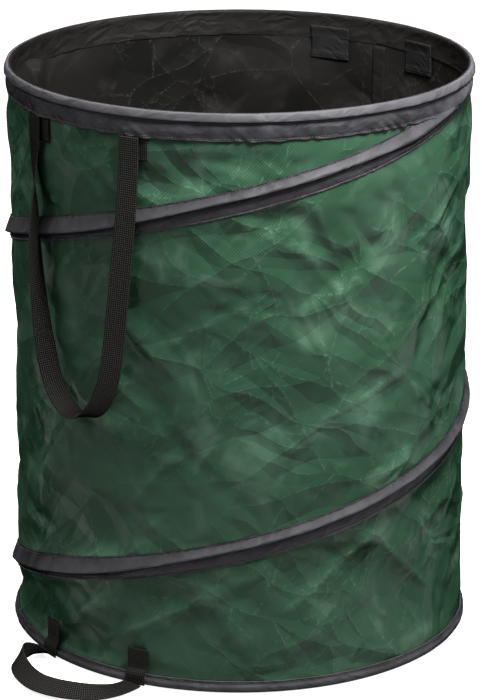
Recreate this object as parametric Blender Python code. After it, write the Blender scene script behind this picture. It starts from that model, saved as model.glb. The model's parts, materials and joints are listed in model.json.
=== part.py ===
"""A round pop-up leaf bag: a cloth tub on two wire hoops, held open by a spiral spring.

The origin is the middle of the base, on the floor, and +Z is up. The front of the bag is -Y:
it has one carry handle and the tipping handle, and the other carry handle is on the back.
Azimuths are counted from the front towards +X. Every ring is flat-sided, with the same corners,
so cloth, tape and wire lie parallel to each other all the way round.
"""

import math

import bmesh
import bpy
from mathutils import Matrix, Vector

# The bag
HEIGHT = 0.700
WALL_RADIUS = 0.2760
WALL_CLOTH = 0.0010
WALL_BANDS = 8
GAP = 0.0003

# The two hoops and the spiral spring
WIRE_RADIUS = 0.0020
WIRE_END_GAP = 0.0010
FERRULE_WALL = 0.0005
FERRULE_LENGTH = 0.060
CAP_WALL = 0.0006
CAP_LENGTH = 0.016
CAP_END = 0.0015

# The tapes that bind the edges and case the spring
TAPE_CLOTH = 0.0011
RIM_BINDING_HEIGHT = 0.0330
BASE_BINDING_HEIGHT = 0.0140
RIM_ROLL_HEIGHT = 0.0145
BASE_ROLL_HEIGHT = 0.0110
ROLL_OUTSET = 0.0015
CASING_HEIGHT = 0.0300
CASING_RIDGE = 0.0180
CASING_END = 0.0050
SEAM_TAPE_WIDTH = 0.0200
SEAM_TAPE_CLOTH = 0.0008
BASE_PANEL_CLOTH = 0.0020

# The webbing handles
WEBBING_WIDTH = 0.0250
WEBBING_THICKNESS = 0.0018
TAIL_LENGTH = 0.0280
LEAD_LENGTH = 0.0450
CARRY_DROP = 0.3350
STRAP_CLEARANCE = 0.0015
PATCH_WIDTH = 0.0520
PATCH_HEIGHT = 0.0420
PATCH_CLOTH = 0.0008
PATCH_DROP = 0.0160
TAB_HEIGHT = 0.0450
TAB_LIFT = 0.0005
TIPPING_REACH = 0.0790
TIPPING_LIFT = 0.0005

# Directions
SEGMENTS = 48
STEP = 2 * math.pi / SEGMENTS
WIRE_SIDES = 6
SPIRAL_TURNS = 1.53
FRONT = 0.0
BACK = math.pi
CARRY_AZIMUTH = math.radians(15)
TIPPING_AZIMUTH = math.radians(14.1)
HOOP_JOINT_AZIMUTH = math.radians(90)
SPIRAL_TOP_AZIMUTH = math.radians(94.9)
TIPPING_TILT = math.radians(22)

# Shares of a handle's own sizes, chosen by hand
CARRY_KNEE_SHARE = 0.62
CARRY_BELLY_SHARE = 0.94
CARRY_BOTTOM_SHARE = 0.68
CARRY_STANDOFF_SHARE = 0.32
CARRY_TWIST_SHARES = (0.13, 0.39)
TIPPING_LEG_SHARE = 0.75
TIPPING_FRONT_SHARE = 0.65
TIPPING_BULGE_SHARE = 0.20

# What follows from the sizes above
WALL_MIDDLE = WALL_RADIUS - WALL_CLOTH / 2
LEG_OFFSET = WALL_CLOTH / 2 + GAP + TAPE_CLOTH / 2
FERRULE_RADIUS = WIRE_RADIUS + GAP + FERRULE_WALL
ROLL_RADIUS = FERRULE_RADIUS + GAP + TAPE_CLOTH
HOOP_RADIUS = WALL_MIDDLE + ROLL_OUTSET
ROLL_OUTSIDE = HOOP_RADIUS + ROLL_RADIUS
ROLL_INSIDE = HOOP_RADIUS - ROLL_RADIUS
LEG_INSIDE = WALL_MIDDLE - LEG_OFFSET - TAPE_CLOTH / 2
WALL_FOOT = ROLL_RADIUS + FERRULE_RADIUS + GAP
WALL_TOP = HEIGHT - WALL_FOOT
RIM_EDGE = HEIGHT - RIM_BINDING_HEIGHT
CAP_RADIUS = WIRE_RADIUS + GAP + CAP_WALL
SPRING_OFFSET = GAP + CAP_RADIUS
CASING_ROOF = CAP_RADIUS + GAP + TAPE_CLOTH / 2
CASING_CREST = WALL_RADIUS + SPRING_OFFSET + CASING_ROOF + TAPE_CLOTH / 2
SPIRAL_TOP_Z = RIM_EDGE - GAP - CASING_END
SPIRAL_FOOT_Z = BASE_BINDING_HEIGHT + GAP + CASING_END
SPIRAL_ARC = 2 * math.pi * SPIRAL_TURNS
SPIRAL_RISE = SPIRAL_TOP_Z - SPIRAL_FOOT_Z
TAIL_RADIUS = WALL_RADIUS + GAP
LEAD_RADIUS = TAIL_RADIUS + WEBBING_THICKNESS + GAP
LEAD_TOP = RIM_EDGE - GAP
LOOP_TOP = LEAD_TOP - LEAD_LENGTH - GAP
FRONT_LOOP_RADIUS = WALL_RADIUS + STRAP_CLEARANCE + WEBBING_WIDTH / 2
REAR_LOOP_RADIUS = CASING_CREST + STRAP_CLEARANCE + WEBBING_WIDTH / 2
TAB_RADIUS = ROLL_OUTSIDE + GAP


def material(name, colour, roughness, metallic=0.0):
    """One plain finish for one object."""
    finish = bpy.data.materials.new(name)
    finish.use_nodes = True
    shader = finish.node_tree.nodes["Principled BSDF"]
    shader.inputs["Base Color"].default_value = (*colour, 1.0)
    shader.inputs["Roughness"].default_value = roughness
    shader.inputs["Metallic"].default_value = metallic
    return finish


def green_cloth(name):
    return material(name, (0.030, 0.092, 0.048), 0.45)


def grey_tape(name):
    return material(name, (0.068, 0.060, 0.066), 0.70)


def black_webbing(name):
    return material(name, (0.013, 0.012, 0.012), 0.75)


def spring_steel(name):
    return material(name, (0.42, 0.42, 0.43), 0.35, 1.0)


def black_plastic(name):
    return material(name, (0.02, 0.02, 0.02), 0.5)


def smooth(value):
    """Ease from 0 to 1, level at both ends."""
    value = min(max(value, 0.0), 1.0)
    return value * value * (3 - 2 * value)


def on_ring(radius, azimuth, z):
    """The point of a flat-sided ring at an azimuth; radius is that of the ring's corners."""
    from_middle = (azimuth + STEP / 2) % STEP - STEP / 2
    reach = radius * math.cos(STEP / 2) / math.cos(from_middle)
    return Vector((reach * math.sin(azimuth), -reach * math.cos(azimuth), z))


def azimuths(start, end):
    """The two ends of an arc, with the ring's corners that lie between them."""
    first = math.floor(start / STEP - 0.5) + 1
    last = math.ceil(end / STEP - 0.5)
    corners = [(k + 0.5) * STEP for k in range(first, last)]
    margin = STEP / 50
    return [start] + [a for a in corners if start + margin < a < end - margin] + [end]


def skin(name, rings, closed, finish, pivot=Vector()):
    """One closed body through rings of points, capped at both ends unless it runs round."""
    mesh = bpy.data.meshes.new(name)
    sides = len(rings[0])
    points = [point - pivot for ring in rings for point in ring]
    pairs = len(rings) if closed else len(rings) - 1
    faces = []
    for i in range(pairs):
        j = (i + 1) % len(rings)
        for k in range(sides):
            m = (k + 1) % sides
            faces.append((i * sides + k, i * sides + m, j * sides + m, j * sides + k))
    if not closed:
        faces.append(tuple(range(sides)))
        faces.append(tuple((len(rings) - 1) * sides + k for k in range(sides)))
    mesh.from_pydata(points, [], faces)
    body = bmesh.new()
    body.from_mesh(mesh)
    bmesh.ops.recalc_face_normals(body, faces=body.faces)
    body.to_mesh(mesh)
    body.free()
    mesh.shade_smooth()
    mesh.set_sharp_from_angle(angle=math.radians(35))
    mesh.materials.append(finish(name))
    thing = bpy.data.objects.new(name, mesh)
    thing.location = pivot
    bpy.context.collection.objects.link(thing)
    return thing


def ribbon_section(path, thickness):
    """The closed outline of a strip of even thickness along a path of (radius, height) points."""
    sides = ([], [])
    for i, (r, z) in enumerate(path):
        before = path[max(i - 1, 0)]
        after = path[min(i + 1, len(path) - 1)]
        into = Vector((r - before[0], z - before[1]))
        out = Vector((after[0] - r, after[1] - z))
        into = into.normalized() if into.length else out.normalized()
        out = out.normalized() if out.length else into
        along = (into + out).normalized()
        reach = thickness / 2 / along.dot(into)
        sides[0].append((r - along.y * reach, z + along.x * reach))
        sides[1].append((r + along.y * reach, z - along.x * reach))
    return sides[0] + sides[1][::-1]


def arc(middle, radius, start, end, count):
    """Points round an arc whose chords touch the true circle from outside."""
    step = (end - start) / (count - 1)
    reach = radius / math.cos(step / 2)
    angles = [start + step * i for i in range(count)]
    return [(middle[0] + reach * math.cos(a), middle[1] + reach * math.sin(a)) for a in angles]


def turned_ring(name, section, finish):
    """A flat-sided ring, all the way round, from an outline of (radius, height) points."""
    corners = [(k + 0.5) * STEP for k in range(SEGMENTS)]
    return skin(name, [[on_ring(r, a, z) for r, z in section] for a in corners], True, finish)


def curved_plate(name, azimuth, width, inside, thickness, foot, top, finish):
    """A plate that lies along the wall, centred on an azimuth."""
    half = width / 2 / inside
    section = [(inside, foot), (inside + thickness, foot), (inside + thickness, top), (inside, top)]
    stations = azimuths(azimuth - half, azimuth + half)
    return skin(name, [[on_ring(r, a, z) for r, z in section] for a in stations], False, finish)


def wire_ring(radius, ring_radius, azimuth, z):
    """One cross-section of round wire on a ring."""
    turns = [2 * math.pi * k / WIRE_SIDES for k in range(WIRE_SIDES)]
    return [on_ring(ring_radius + radius * math.cos(t), azimuth, z + radius * math.sin(t)) for t in turns]


def spiral_height(azimuth):
    """The height of the spring's middle; it climbs towards +X from the front."""
    return SPIRAL_TOP_Z - SPIRAL_RISE * (SPIRAL_TOP_AZIMUTH - azimuth) / SPIRAL_ARC


def bound_edge_section(legs, roll):
    """An edge binding: two legs astride the wall, joined by a roll round the hoop.

    Heights are counted from the outer end of the roll towards the legs' ends.
    """
    middle = (ROLL_OUTSET, -ROLL_RADIUS)
    bend = arc(middle, ROLL_RADIUS - TAPE_CLOTH / 2, 0, math.pi, 6)
    path = [(LEG_OFFSET, -legs), (LEG_OFFSET, -roll), *bend, (-LEG_OFFSET, -roll), (-LEG_OFFSET, -legs)]
    return ribbon_section(path, TAPE_CLOTH)


def edge_binding(name, legs, roll, edge, towards):
    """A binding on the rim (towards 1) or on the foot of the wall (towards -1)."""
    section = bound_edge_section(legs, roll)
    return turned_ring(name, [(WALL_MIDDLE + r, edge + towards * z) for r, z in section], grey_tape)


def hoop(name, z):
    """A hoop of spring wire, whose two ends meet inside its ferrule."""
    half_gap = WIRE_END_GAP / 2 / HOOP_RADIUS
    stations = azimuths(HOOP_JOINT_AZIMUTH + half_gap, HOOP_JOINT_AZIMUTH + 2 * math.pi - half_gap)
    rings = [wire_ring(WIRE_RADIUS, HOOP_RADIUS, a, z) for a in stations]
    skin(name, rings, False, spring_steel)
    ferrule(name + "_ferrule", z)


def ferrule(name, z):
    """The crimped sleeve over the ends of a hoop."""
    half = FERRULE_LENGTH / 2 / HOOP_RADIUS
    stations = azimuths(HOOP_JOINT_AZIMUTH - half, HOOP_JOINT_AZIMUTH + half)
    outside = [wire_ring(FERRULE_RADIUS, HOOP_RADIUS, a, z) for a in stations]
    inside = [wire_ring(WIRE_RADIUS + GAP, HOOP_RADIUS, a, z) for a in reversed(stations)]
    skin(name, outside + inside, True, spring_steel)


def wall():
    """The cloth tube, as a stack of bands that telescope when the bag is pressed flat."""
    pitch = (WALL_TOP - WALL_FOOT) / WALL_BANDS
    inside = WALL_RADIUS - WALL_CLOTH
    for i in range(WALL_BANDS):
        foot = WALL_FOOT + i * pitch
        top = foot + pitch - (GAP if i < WALL_BANDS - 1 else 0)
        section = [(inside, foot), (WALL_RADIUS, foot), (WALL_RADIUS, top), (inside, top)]
        turned_ring(f"wall_band_{i + 1}", section, green_cloth)


def seam_tape():
    """The tape over the wall's upright seam, inside the back."""
    outside = WALL_RADIUS - WALL_CLOTH - GAP
    foot = BASE_BINDING_HEIGHT + GAP
    curved_plate("wall_seam_tape", BACK, SEAM_TAPE_WIDTH, outside - SEAM_TAPE_CLOTH, SEAM_TAPE_CLOTH,
                 foot, LEAD_TOP, grey_tape)


def base_panel():
    """The round bottom, a flat disc that the bag stands on."""
    outline = [on_ring(ROLL_INSIDE, (k + 0.5) * STEP, 0) for k in range(SEGMENTS)]
    lift = Vector((0, 0, BASE_PANEL_CLOTH))
    skin("base_panel", [outline, [point + lift for point in outline]], False, green_cloth)


def casing_section(z):
    """The tape over the spring at one height, cut short where a binding stops it."""
    flat = GAP + TAPE_CLOTH / 2
    up = min(CASING_HEIGHT / 2, LEAD_TOP - z)
    down = min(CASING_HEIGHT / 2, z - BASE_BINDING_HEIGHT - GAP)
    ridge_up = min(CASING_RIDGE / 2, up - TAPE_CLOTH / 2)
    ridge_down = min(CASING_RIDGE / 2, down - TAPE_CLOTH / 2)
    lap = math.radians(72)
    bend = arc((SPRING_OFFSET, 0), CASING_ROOF, -lap, lap, 4)
    path = [(flat, -down), (flat, -ridge_down), *bend, (flat, ridge_up), (flat, up)]
    return [(WALL_RADIUS + r, z + h) for r, h in ribbon_section(path, TAPE_CLOTH)]


def spiral():
    """The spring that holds the bag open, its tape casing and the caps on its two ends."""
    first = SPIRAL_TOP_AZIMUTH - SPIRAL_ARC
    last = SPIRAL_TOP_AZIMUTH
    stations = azimuths(first, last)
    rings = [[on_ring(r, a, z) for r, z in casing_section(spiral_height(a))] for a in stations]
    skin("spiral_casing", rings, False, grey_tape)
    radius = WALL_RADIUS + SPRING_OFFSET
    end = (CAP_END + GAP) / radius
    stations = azimuths(first + end, last - end)
    rings = [wire_ring(WIRE_RADIUS, radius, a, spiral_height(a)) for a in stations]
    skin("spiral_spring", rings, False, spring_steel)
    end_cap("spring_bottom_cap", first, 1)
    end_cap("spring_top_cap", last, -1)


def end_cap(name, azimuth, inwards):
    """A cup pushed over one end of the spring, so that the wire can't pierce its casing."""
    radius = WALL_RADIUS + SPRING_OFFSET
    mouth = azimuth + inwards * CAP_LENGTH / radius
    floor = azimuth + inwards * CAP_END / radius
    bore = azimuths(min(floor, mouth), max(floor, mouth))
    shell = azimuths(min(azimuth, mouth), max(azimuth, mouth))
    if inwards < 0:
        bore.reverse()
        shell.reverse()
    rings = [wire_ring(WIRE_RADIUS + GAP, radius, a, spiral_height(a)) for a in bore]
    rings += [wire_ring(CAP_RADIUS, radius, a, spiral_height(a)) for a in reversed(shell)]
    skin(name, rings, False, black_plastic)


def bezier(points, share):
    """A point of a cubic curve."""
    a, b, c, d = points
    rest = 1 - share
    return rest**3 * a + 3 * rest**2 * share * b + 3 * rest * share**2 * c + share**3 * d


def mirrored(point):
    """The same point on the other side of the bag's middle plane."""
    return Vector((-point.x, point.y, point.z))


def strap(name, middles, directions, start, turn, pivot):
    """Webbing along its middle line, each point with its direction across.

    It leaves in the direction start, and comes back in the mirrored one.
    """
    half, thin = WEBBING_WIDTH / 2, WEBBING_THICKNESS / 2
    rings = []
    for i, (middle, across) in enumerate(zip(middles, directions)):
        if i == 0:
            along = start
        elif i == len(middles) - 1:
            along = -mirrored(start)
        else:
            along = (middles[i + 1] - middles[i - 1]).normalized()
        across = (across - along * across.dot(along)).normalized()
        out = along.cross(across)
        corners = [across * half * u + out * thin * v for u, v in ((1, 1), (-1, 1), (-1, -1), (1, -1))]
        rings.append([turn @ (middle + corner) for corner in corners])
    return skin(name, rings, False, black_webbing, turn @ pivot)


def carry_middle_line(count, reach):
    """The middle line of a front carry handle, down one leg and up the other.

    It hangs at the radius reach where its strap has turned edge-on to the wall.
    """
    top = on_ring(LEAD_RADIUS + WEBBING_THICKNESS / 2, CARRY_AZIMUTH, 0)
    start, half = top.length, top.x
    bottom = RIM_EDGE - CARRY_DROP
    depth = LOOP_TOP - bottom
    controls = [Vector((-half, 0, LOOP_TOP)),
                Vector((-half * CARRY_BELLY_SHARE, 0, LOOP_TOP - depth * CARRY_KNEE_SHARE)),
                Vector((-half * CARRY_BOTTOM_SHARE, 0, bottom)),
                Vector((0, 0, bottom))]
    leg = []
    for i in range(count):
        point = bezier(controls, i / (count - 1))
        share = (LOOP_TOP - point.z) / depth
        radius = start + (reach - start) * min(1, share / CARRY_STANDOFF_SHARE)
        point.y = -math.sqrt(radius * radius - point.x * point.x)
        leg.append(point)
    return leg + [mirrored(point) for point in leg[-2::-1]]


def carry_directions(count):
    """The strap's direction across, which turns through half a turn down and up the loop."""
    result = []
    start, end = CARRY_TWIST_SHARES
    for i in range(count):
        share = i / (count - 1)
        near = min(share, 1 - share)
        turned = (math.pi / 2 - CARRY_AZIMUTH) * smooth((near - start) / (end - start))
        angle = -CARRY_AZIMUTH - turned if share < 0.5 else CARRY_AZIMUTH + turned - math.pi
        result.append(Vector((math.cos(angle), math.sin(angle), 0)))
    return result


def half_turn(azimuth):
    """What carries a front handle to the side of the bag at an azimuth of 0 or half a turn."""
    return Matrix.Rotation(azimuth, 3, "Z")


def swing_line(radius, thickness, azimuth, width):
    """How far in front of the bag's middle the foremost edge of a plate on the wall lies."""
    half = width / 2 / radius
    return max(-on_ring(radius + thickness, azimuth + side * half, 0).y for side in (-1, 1))


def carry_handle(side, azimuth, reach):
    """A carry handle: sewn tails, patches inside, leads that hang from the stitching, and the loop."""
    for hand, sign in (("left", -1), ("right", 1)):
        at = azimuth + sign * CARRY_AZIMUTH
        stem = f"{side}_{hand}"
        curved_plate(f"{stem}_strap_tail", at, WEBBING_WIDTH, TAIL_RADIUS, WEBBING_THICKNESS,
                     RIM_EDGE - TAIL_LENGTH, LEAD_TOP, black_webbing)
        curved_plate(f"{stem}_strap_lead", at, WEBBING_WIDTH, LEAD_RADIUS, WEBBING_THICKNESS,
                     LEAD_TOP - LEAD_LENGTH, LEAD_TOP, black_webbing)
        top = HEIGHT - PATCH_DROP
        curved_plate(f"{stem}_inside_patch", at, PATCH_WIDTH, LEG_INSIDE - GAP - PATCH_CLOTH, PATCH_CLOTH,
                     top - PATCH_HEIGHT, top, grey_tape)
    turn = half_turn(azimuth)
    line = carry_middle_line(17, reach)
    pivot = Vector((0, -swing_line(LEAD_RADIUS, WEBBING_THICKNESS, CARRY_AZIMUTH, WEBBING_WIDTH), LOOP_TOP))
    strap(f"{side}_carry_loop", line, carry_directions(len(line)), Vector((0, 0, -1)), turn, pivot)


def tipping_middle_line(count, start):
    """The middle line of the tipping handle, out from one tab and back to the other."""
    front = start.y - TIPPING_REACH
    knee = start + Vector((start.x * TIPPING_BULGE_SHARE, -TIPPING_REACH * TIPPING_LEG_SHARE, 0))
    controls = [start, knee, Vector((start.x * TIPPING_FRONT_SHARE, front, 0)), Vector((0, front, 0))]
    side = [bezier(controls, i / (count - 1)) for i in range(count)]
    return side + [mirrored(point) for point in side[-2::-1]]


def tipping_handle():
    """The tipping handle: two tabs sewn over the foot of the wall and the loop on the floor."""
    for hand, sign in (("left", -1), ("right", 1)):
        curved_plate(f"tipping_handle_{hand}_tab", sign * TIPPING_AZIMUTH, WEBBING_WIDTH, TAB_RADIUS,
                     WEBBING_THICKNESS, TAB_LIFT, TAB_HEIGHT, black_webbing)
    face = swing_line(TAB_RADIUS, WEBBING_THICKNESS, TIPPING_AZIMUTH, WEBBING_WIDTH)
    start = Vector((-(TAB_RADIUS + WEBBING_THICKNESS) * math.sin(TIPPING_AZIMUTH), -face - GAP, 0))
    flat = tipping_middle_line(13, start)
    line, directions = [], []
    for i, point in enumerate(flat):
        along = (flat[min(i + 1, len(flat) - 1)] - flat[max(i - 1, 0)]).normalized()
        tilt = TIPPING_TILT * math.sin(math.pi * i / (len(flat) - 1))
        outwards = Vector((along.y, -along.x, 0))
        directions.append(outwards * math.cos(tilt) - Vector((0, 0, math.sin(tilt))))
        lift = TIPPING_LIFT + WEBBING_WIDTH / 2 * math.sin(tilt) + WEBBING_THICKNESS / 2 * math.cos(tilt)
        line.append(point + Vector((0, 0, lift)))
    pivot = Vector((0, -face - GAP, TIPPING_LIFT + WEBBING_THICKNESS))
    strap("tipping_handle_loop", line, directions, Vector((0, -1, 0)), half_turn(FRONT), pivot)


def clear_scene():
    for thing in list(bpy.data.objects):
        bpy.data.objects.remove(thing, do_unlink=True)


def main():
    clear_scene()
    base_panel()
    hoop("base_hoop", ROLL_RADIUS)
    edge_binding("base_binding", BASE_BINDING_HEIGHT, BASE_ROLL_HEIGHT, 0, -1)
    wall()
    seam_tape()
    spiral()
    hoop("rim_hoop", HEIGHT - ROLL_RADIUS)
    edge_binding("rim_binding", RIM_BINDING_HEIGHT, RIM_ROLL_HEIGHT, HEIGHT, 1)
    carry_handle("front", FRONT, FRONT_LOOP_RADIUS)
    carry_handle("rear", BACK, REAR_LOOP_RADIUS)
    tipping_handle()


main()
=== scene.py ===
"""The looks of a round pop-up garden bag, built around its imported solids.

The bag is a tube of green woven laminate between two bound hoops, held open by a spiral spring in a
sewn casing. Lengths are in metres. Azimuths run from the front (-Y) towards +X.
"""

import json
import logging
import math
from dataclasses import dataclass, field
from enum import Enum
from typing import Callable

import bpy
import numpy as np
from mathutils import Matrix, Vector
from mathutils.geometry import delaunay_2d_cdt

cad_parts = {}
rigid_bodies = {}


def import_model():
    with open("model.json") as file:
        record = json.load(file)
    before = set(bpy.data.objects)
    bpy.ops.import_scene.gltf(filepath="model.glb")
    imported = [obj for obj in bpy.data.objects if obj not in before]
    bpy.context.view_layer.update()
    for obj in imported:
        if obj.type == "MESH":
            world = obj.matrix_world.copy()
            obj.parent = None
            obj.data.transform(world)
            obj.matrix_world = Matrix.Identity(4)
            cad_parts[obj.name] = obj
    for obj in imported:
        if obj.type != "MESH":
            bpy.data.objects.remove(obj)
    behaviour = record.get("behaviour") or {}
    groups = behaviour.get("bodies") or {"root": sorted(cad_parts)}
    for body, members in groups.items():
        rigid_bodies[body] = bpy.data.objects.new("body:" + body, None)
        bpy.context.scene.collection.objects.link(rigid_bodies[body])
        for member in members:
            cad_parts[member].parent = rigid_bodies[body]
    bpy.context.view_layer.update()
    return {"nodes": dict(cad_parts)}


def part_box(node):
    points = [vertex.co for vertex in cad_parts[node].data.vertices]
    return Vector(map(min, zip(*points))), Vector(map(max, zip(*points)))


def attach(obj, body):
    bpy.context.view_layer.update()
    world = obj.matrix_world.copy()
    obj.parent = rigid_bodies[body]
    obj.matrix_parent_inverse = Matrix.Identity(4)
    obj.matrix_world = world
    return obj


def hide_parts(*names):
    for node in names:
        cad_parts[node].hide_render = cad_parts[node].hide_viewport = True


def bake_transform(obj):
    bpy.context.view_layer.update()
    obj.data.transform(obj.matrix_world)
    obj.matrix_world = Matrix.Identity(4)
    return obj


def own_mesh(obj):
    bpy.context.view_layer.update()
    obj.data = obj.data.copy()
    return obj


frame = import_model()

LOG = logging.getLogger("garden_bag")
MM = 0.001
TURN = 2 * math.pi
FAR = 9.0
Section = list[tuple[float, float]]
Socket = bpy.types.NodeSocket
Thing = bpy.types.Object
Line = tuple[np.ndarray, np.ndarray, bool]


def linear(colour: str) -> tuple[float, float, float, float]:
    """An sRGB hex colour as linear red, green and blue with a full alpha."""
    parts = [int(colour[i:i + 2], 16) / 255 for i in (1, 3, 5)]
    values = [p / 12.92 if p <= 0.04045 else ((p + 0.055) / 1.055) ** 2.4 for p in parts]
    return values[0], values[1], values[2], 1.0


def smooth(value: np.ndarray | float) -> np.ndarray:
    """Eases from 0 to 1, level at both ends."""
    value = np.clip(value, 0.0, 1.0)
    return value * value * (3 - 2 * value)


def wrap(azimuth: np.ndarray | float) -> np.ndarray | float:
    """An azimuth as its nearest equal to the front, from minus half a turn to half a turn."""
    return (azimuth + math.pi) % TURN - math.pi


def even_turn(count: int) -> np.ndarray:
    """Evenly spaced azimuths round one whole turn."""
    return np.arange(count) * TURN / count


def travelled(points: np.ndarray) -> np.ndarray:
    """The way along a line of points to each of them, from 0."""
    return np.append(0, np.cumsum(np.linalg.norm(np.diff(points, axis=0), axis=1)))


def on_ring(radius: np.ndarray | float, azimuth: np.ndarray | float, z: np.ndarray | float) -> np.ndarray:
    """Points at a radius, an azimuth and a height, in an array whose last axis is X, Y, Z."""
    radius, azimuth, z = np.broadcast_arrays(radius, azimuth, z)
    return np.stack([radius * np.sin(azimuth), -radius * np.cos(azimuth), z], axis=-1)


@dataclass(frozen=True)
class BagSizes:
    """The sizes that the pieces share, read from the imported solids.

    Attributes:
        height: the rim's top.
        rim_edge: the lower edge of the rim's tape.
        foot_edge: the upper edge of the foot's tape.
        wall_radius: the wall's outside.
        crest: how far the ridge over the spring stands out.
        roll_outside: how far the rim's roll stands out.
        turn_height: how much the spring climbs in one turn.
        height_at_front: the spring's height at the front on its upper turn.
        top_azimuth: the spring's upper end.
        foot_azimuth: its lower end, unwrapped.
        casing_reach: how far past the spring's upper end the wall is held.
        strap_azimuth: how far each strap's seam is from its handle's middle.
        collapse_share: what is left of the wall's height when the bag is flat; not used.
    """

    height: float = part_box("rim_binding")[1].z
    rim_edge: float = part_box("rim_binding")[0].z
    foot_edge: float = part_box("base_binding")[1].z
    wall_radius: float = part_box("wall_band_4")[1].x
    crest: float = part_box("spiral_casing")[1].x
    roll_outside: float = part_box("rim_binding")[1].x
    turn_height: float = 0.420
    height_at_front: float = 0.551
    top_azimuth: float = math.radians(94.9)
    foot_azimuth: float = math.radians(94.9 - 550.8)
    casing_reach: float = math.radians(18)
    strap_azimuth: float = math.radians(15)
    collapse_share: float = 0.081

    def spring_height(self, azimuth: np.ndarray | float) -> np.ndarray:
        """The height of the spiral spring's middle at an unwrapped azimuth."""
        return self.height_at_front + self.turn_height * np.asarray(azimuth) / TURN

    def gap_to_spring(self, azimuth: np.ndarray, z: np.ndarray) -> np.ndarray:
        """The least upright distance from points of the wall to the spiral, signed, upwards positive."""
        best = np.full(np.broadcast(azimuth, z).shape, FAR)
        for turn in (-1, 0):
            way = wrap(azimuth) + turn * TURN
            there = (way >= self.foot_azimuth) & (way <= self.top_azimuth + self.casing_reach)
            gap = np.where(there, z - self.spring_height(way), FAR)
            best = np.where(np.abs(gap) < np.abs(best), gap, best)
        return best


SIZES = BagSizes()


def waves(azimuth: np.ndarray, seed: int, low: int, high: int, count: int = 14) -> np.ndarray:
    """Smooth noise round the bag, the same after a whole turn.

    Args:
        azimuth: where it is read.
        seed: fixes the phases.
        low: fewest waves round the bag.
        high: most waves round the bag.
        count: how many waves are added.

    Returns:
        Values of about unit size.
    """
    draw = np.random.default_rng(seed)
    total = np.zeros_like(azimuth, dtype=float)
    for number in draw.integers(low, high + 1, count):
        total += np.sin(number * azimuth + draw.uniform(0, TURN)) * draw.uniform(0.5, 1.2)
    return total / math.sqrt(count) * 1.4


@dataclass(frozen=True)
class Nodes:
    """Adds nodes to one tree; each method but add and fill returns the new node's result."""

    tree: bpy.types.NodeTree

    def fill(self, node: bpy.types.Node, inputs: dict) -> None:
        """Sets or links a node's inputs.

        Args:
            node: the node.
            inputs: values or sockets, by the input's name or number.
        """
        for key, value in inputs.items():
            if isinstance(value, Socket):
                self.tree.links.new(value, node.inputs[key])
            else:
                node.inputs[key].default_value = value

    def add(self, kind: str, inputs: dict | None = None, **settings) -> bpy.types.Node:
        """Adds one node.

        Args:
            kind: the node's type name.
            inputs: values or sockets, by the input's name or number.
            settings: the node's own properties.

        Returns:
            The new node.
        """
        new = self.tree.nodes.new(kind)
        for name, value in settings.items():
            setattr(new, name, value)
        self.fill(new, inputs or {})
        return new

    def step(self, operation: str, *values) -> Socket:
        """One step of arithmetic on numbers or sockets."""
        return self.add("ShaderNodeMath", dict(enumerate(values)), operation=operation).outputs[0]

    def ramp(self, value: Socket, low: float, high: float, start: float = 0.0,
             end: float = 1.0) -> Socket:
        """Maps a value from low and high to start and end, eased and held there."""
        inputs = {"Value": value, "From Min": low, "From Max": high, "To Min": start, "To Max": end}
        return self.add("ShaderNodeMapRange", inputs, interpolation_type="SMOOTHSTEP").outputs["Result"]

    def mix(self, factor: Socket, first, second) -> Socket:
        """Mixes two colours, sockets or sRGB hex, from the first at 0 to the second at 1."""
        colours = [linear(each) if isinstance(each, str) else each for each in (first, second)]
        mixed = self.add("ShaderNodeMix", {0: factor, 6: colours[0], 7: colours[1]}, data_type="RGBA")
        return mixed.outputs[2]

    def noise(self, where: Socket, scale: float, detail: float, output: str = "Fac",
              distortion: float = 0.0) -> Socket:
        """Cloudy noise with so many cycles to the metre."""
        inputs = {"Vector": where, "Scale": scale, "Detail": detail, "Distortion": distortion}
        return self.add("ShaderNodeTexNoise", inputs).outputs[output]

    def bump(self, height: Socket, strength: float, distance: float, **under) -> Socket:
        """A surface raised by a height, over the relief under it where Normal is given."""
        inputs = {"Height": height, "Strength": strength, "Distance": distance, **under}
        return self.add("ShaderNodeBump", inputs).outputs[0]

    def uv(self) -> Socket:
        """The piece's UV map, in metres."""
        return self.add("ShaderNodeUVMap", uv_map="UVMap").outputs["UV"]

    def place(self) -> Socket:
        """Object coordinates."""
        return self.add("ShaderNodeTexCoord").outputs["Object"]

    def attribute(self, name: str) -> Socket:
        """A number stored on the mesh."""
        return self.add("ShaderNodeAttribute", attribute_name=name).outputs["Fac"]

    def split(self, vector: Socket) -> list[Socket]:
        """A vector's three parts."""
        return list(self.add("ShaderNodeSeparateXYZ", {0: vector}).outputs)

    def gloss(self, level: float) -> Socket:
        """The low gloss of cloth, which its fibres lose towards grazing views."""
        facing = self.add("ShaderNodeLayerWeight", {"Blend": 0.5}).outputs["Facing"]
        return self.ramp(facing, 0.1, 0.62, level, 0.0)


def add_object(name: str, data: bpy.types.ID) -> Thing:
    """A new object in the scene."""
    thing = bpy.data.objects.new(name, data)
    bpy.context.scene.collection.objects.link(thing)
    return thing


def integers(items: bpy.types.bpy_prop_collection, name: str) -> np.ndarray:
    """One whole number of each item, such as the vertex at each corner of a mesh's faces."""
    found = np.zeros(len(items), dtype=np.int32)
    items.foreach_get(name, found)
    return found


def set_uv(mesh: bpy.types.Mesh, values: np.ndarray) -> None:
    """Stores a UV in metres at each corner of a mesh's faces."""
    mesh.uv_layers.new(name="UVMap").data.foreach_set("uv", values.ravel())


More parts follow.
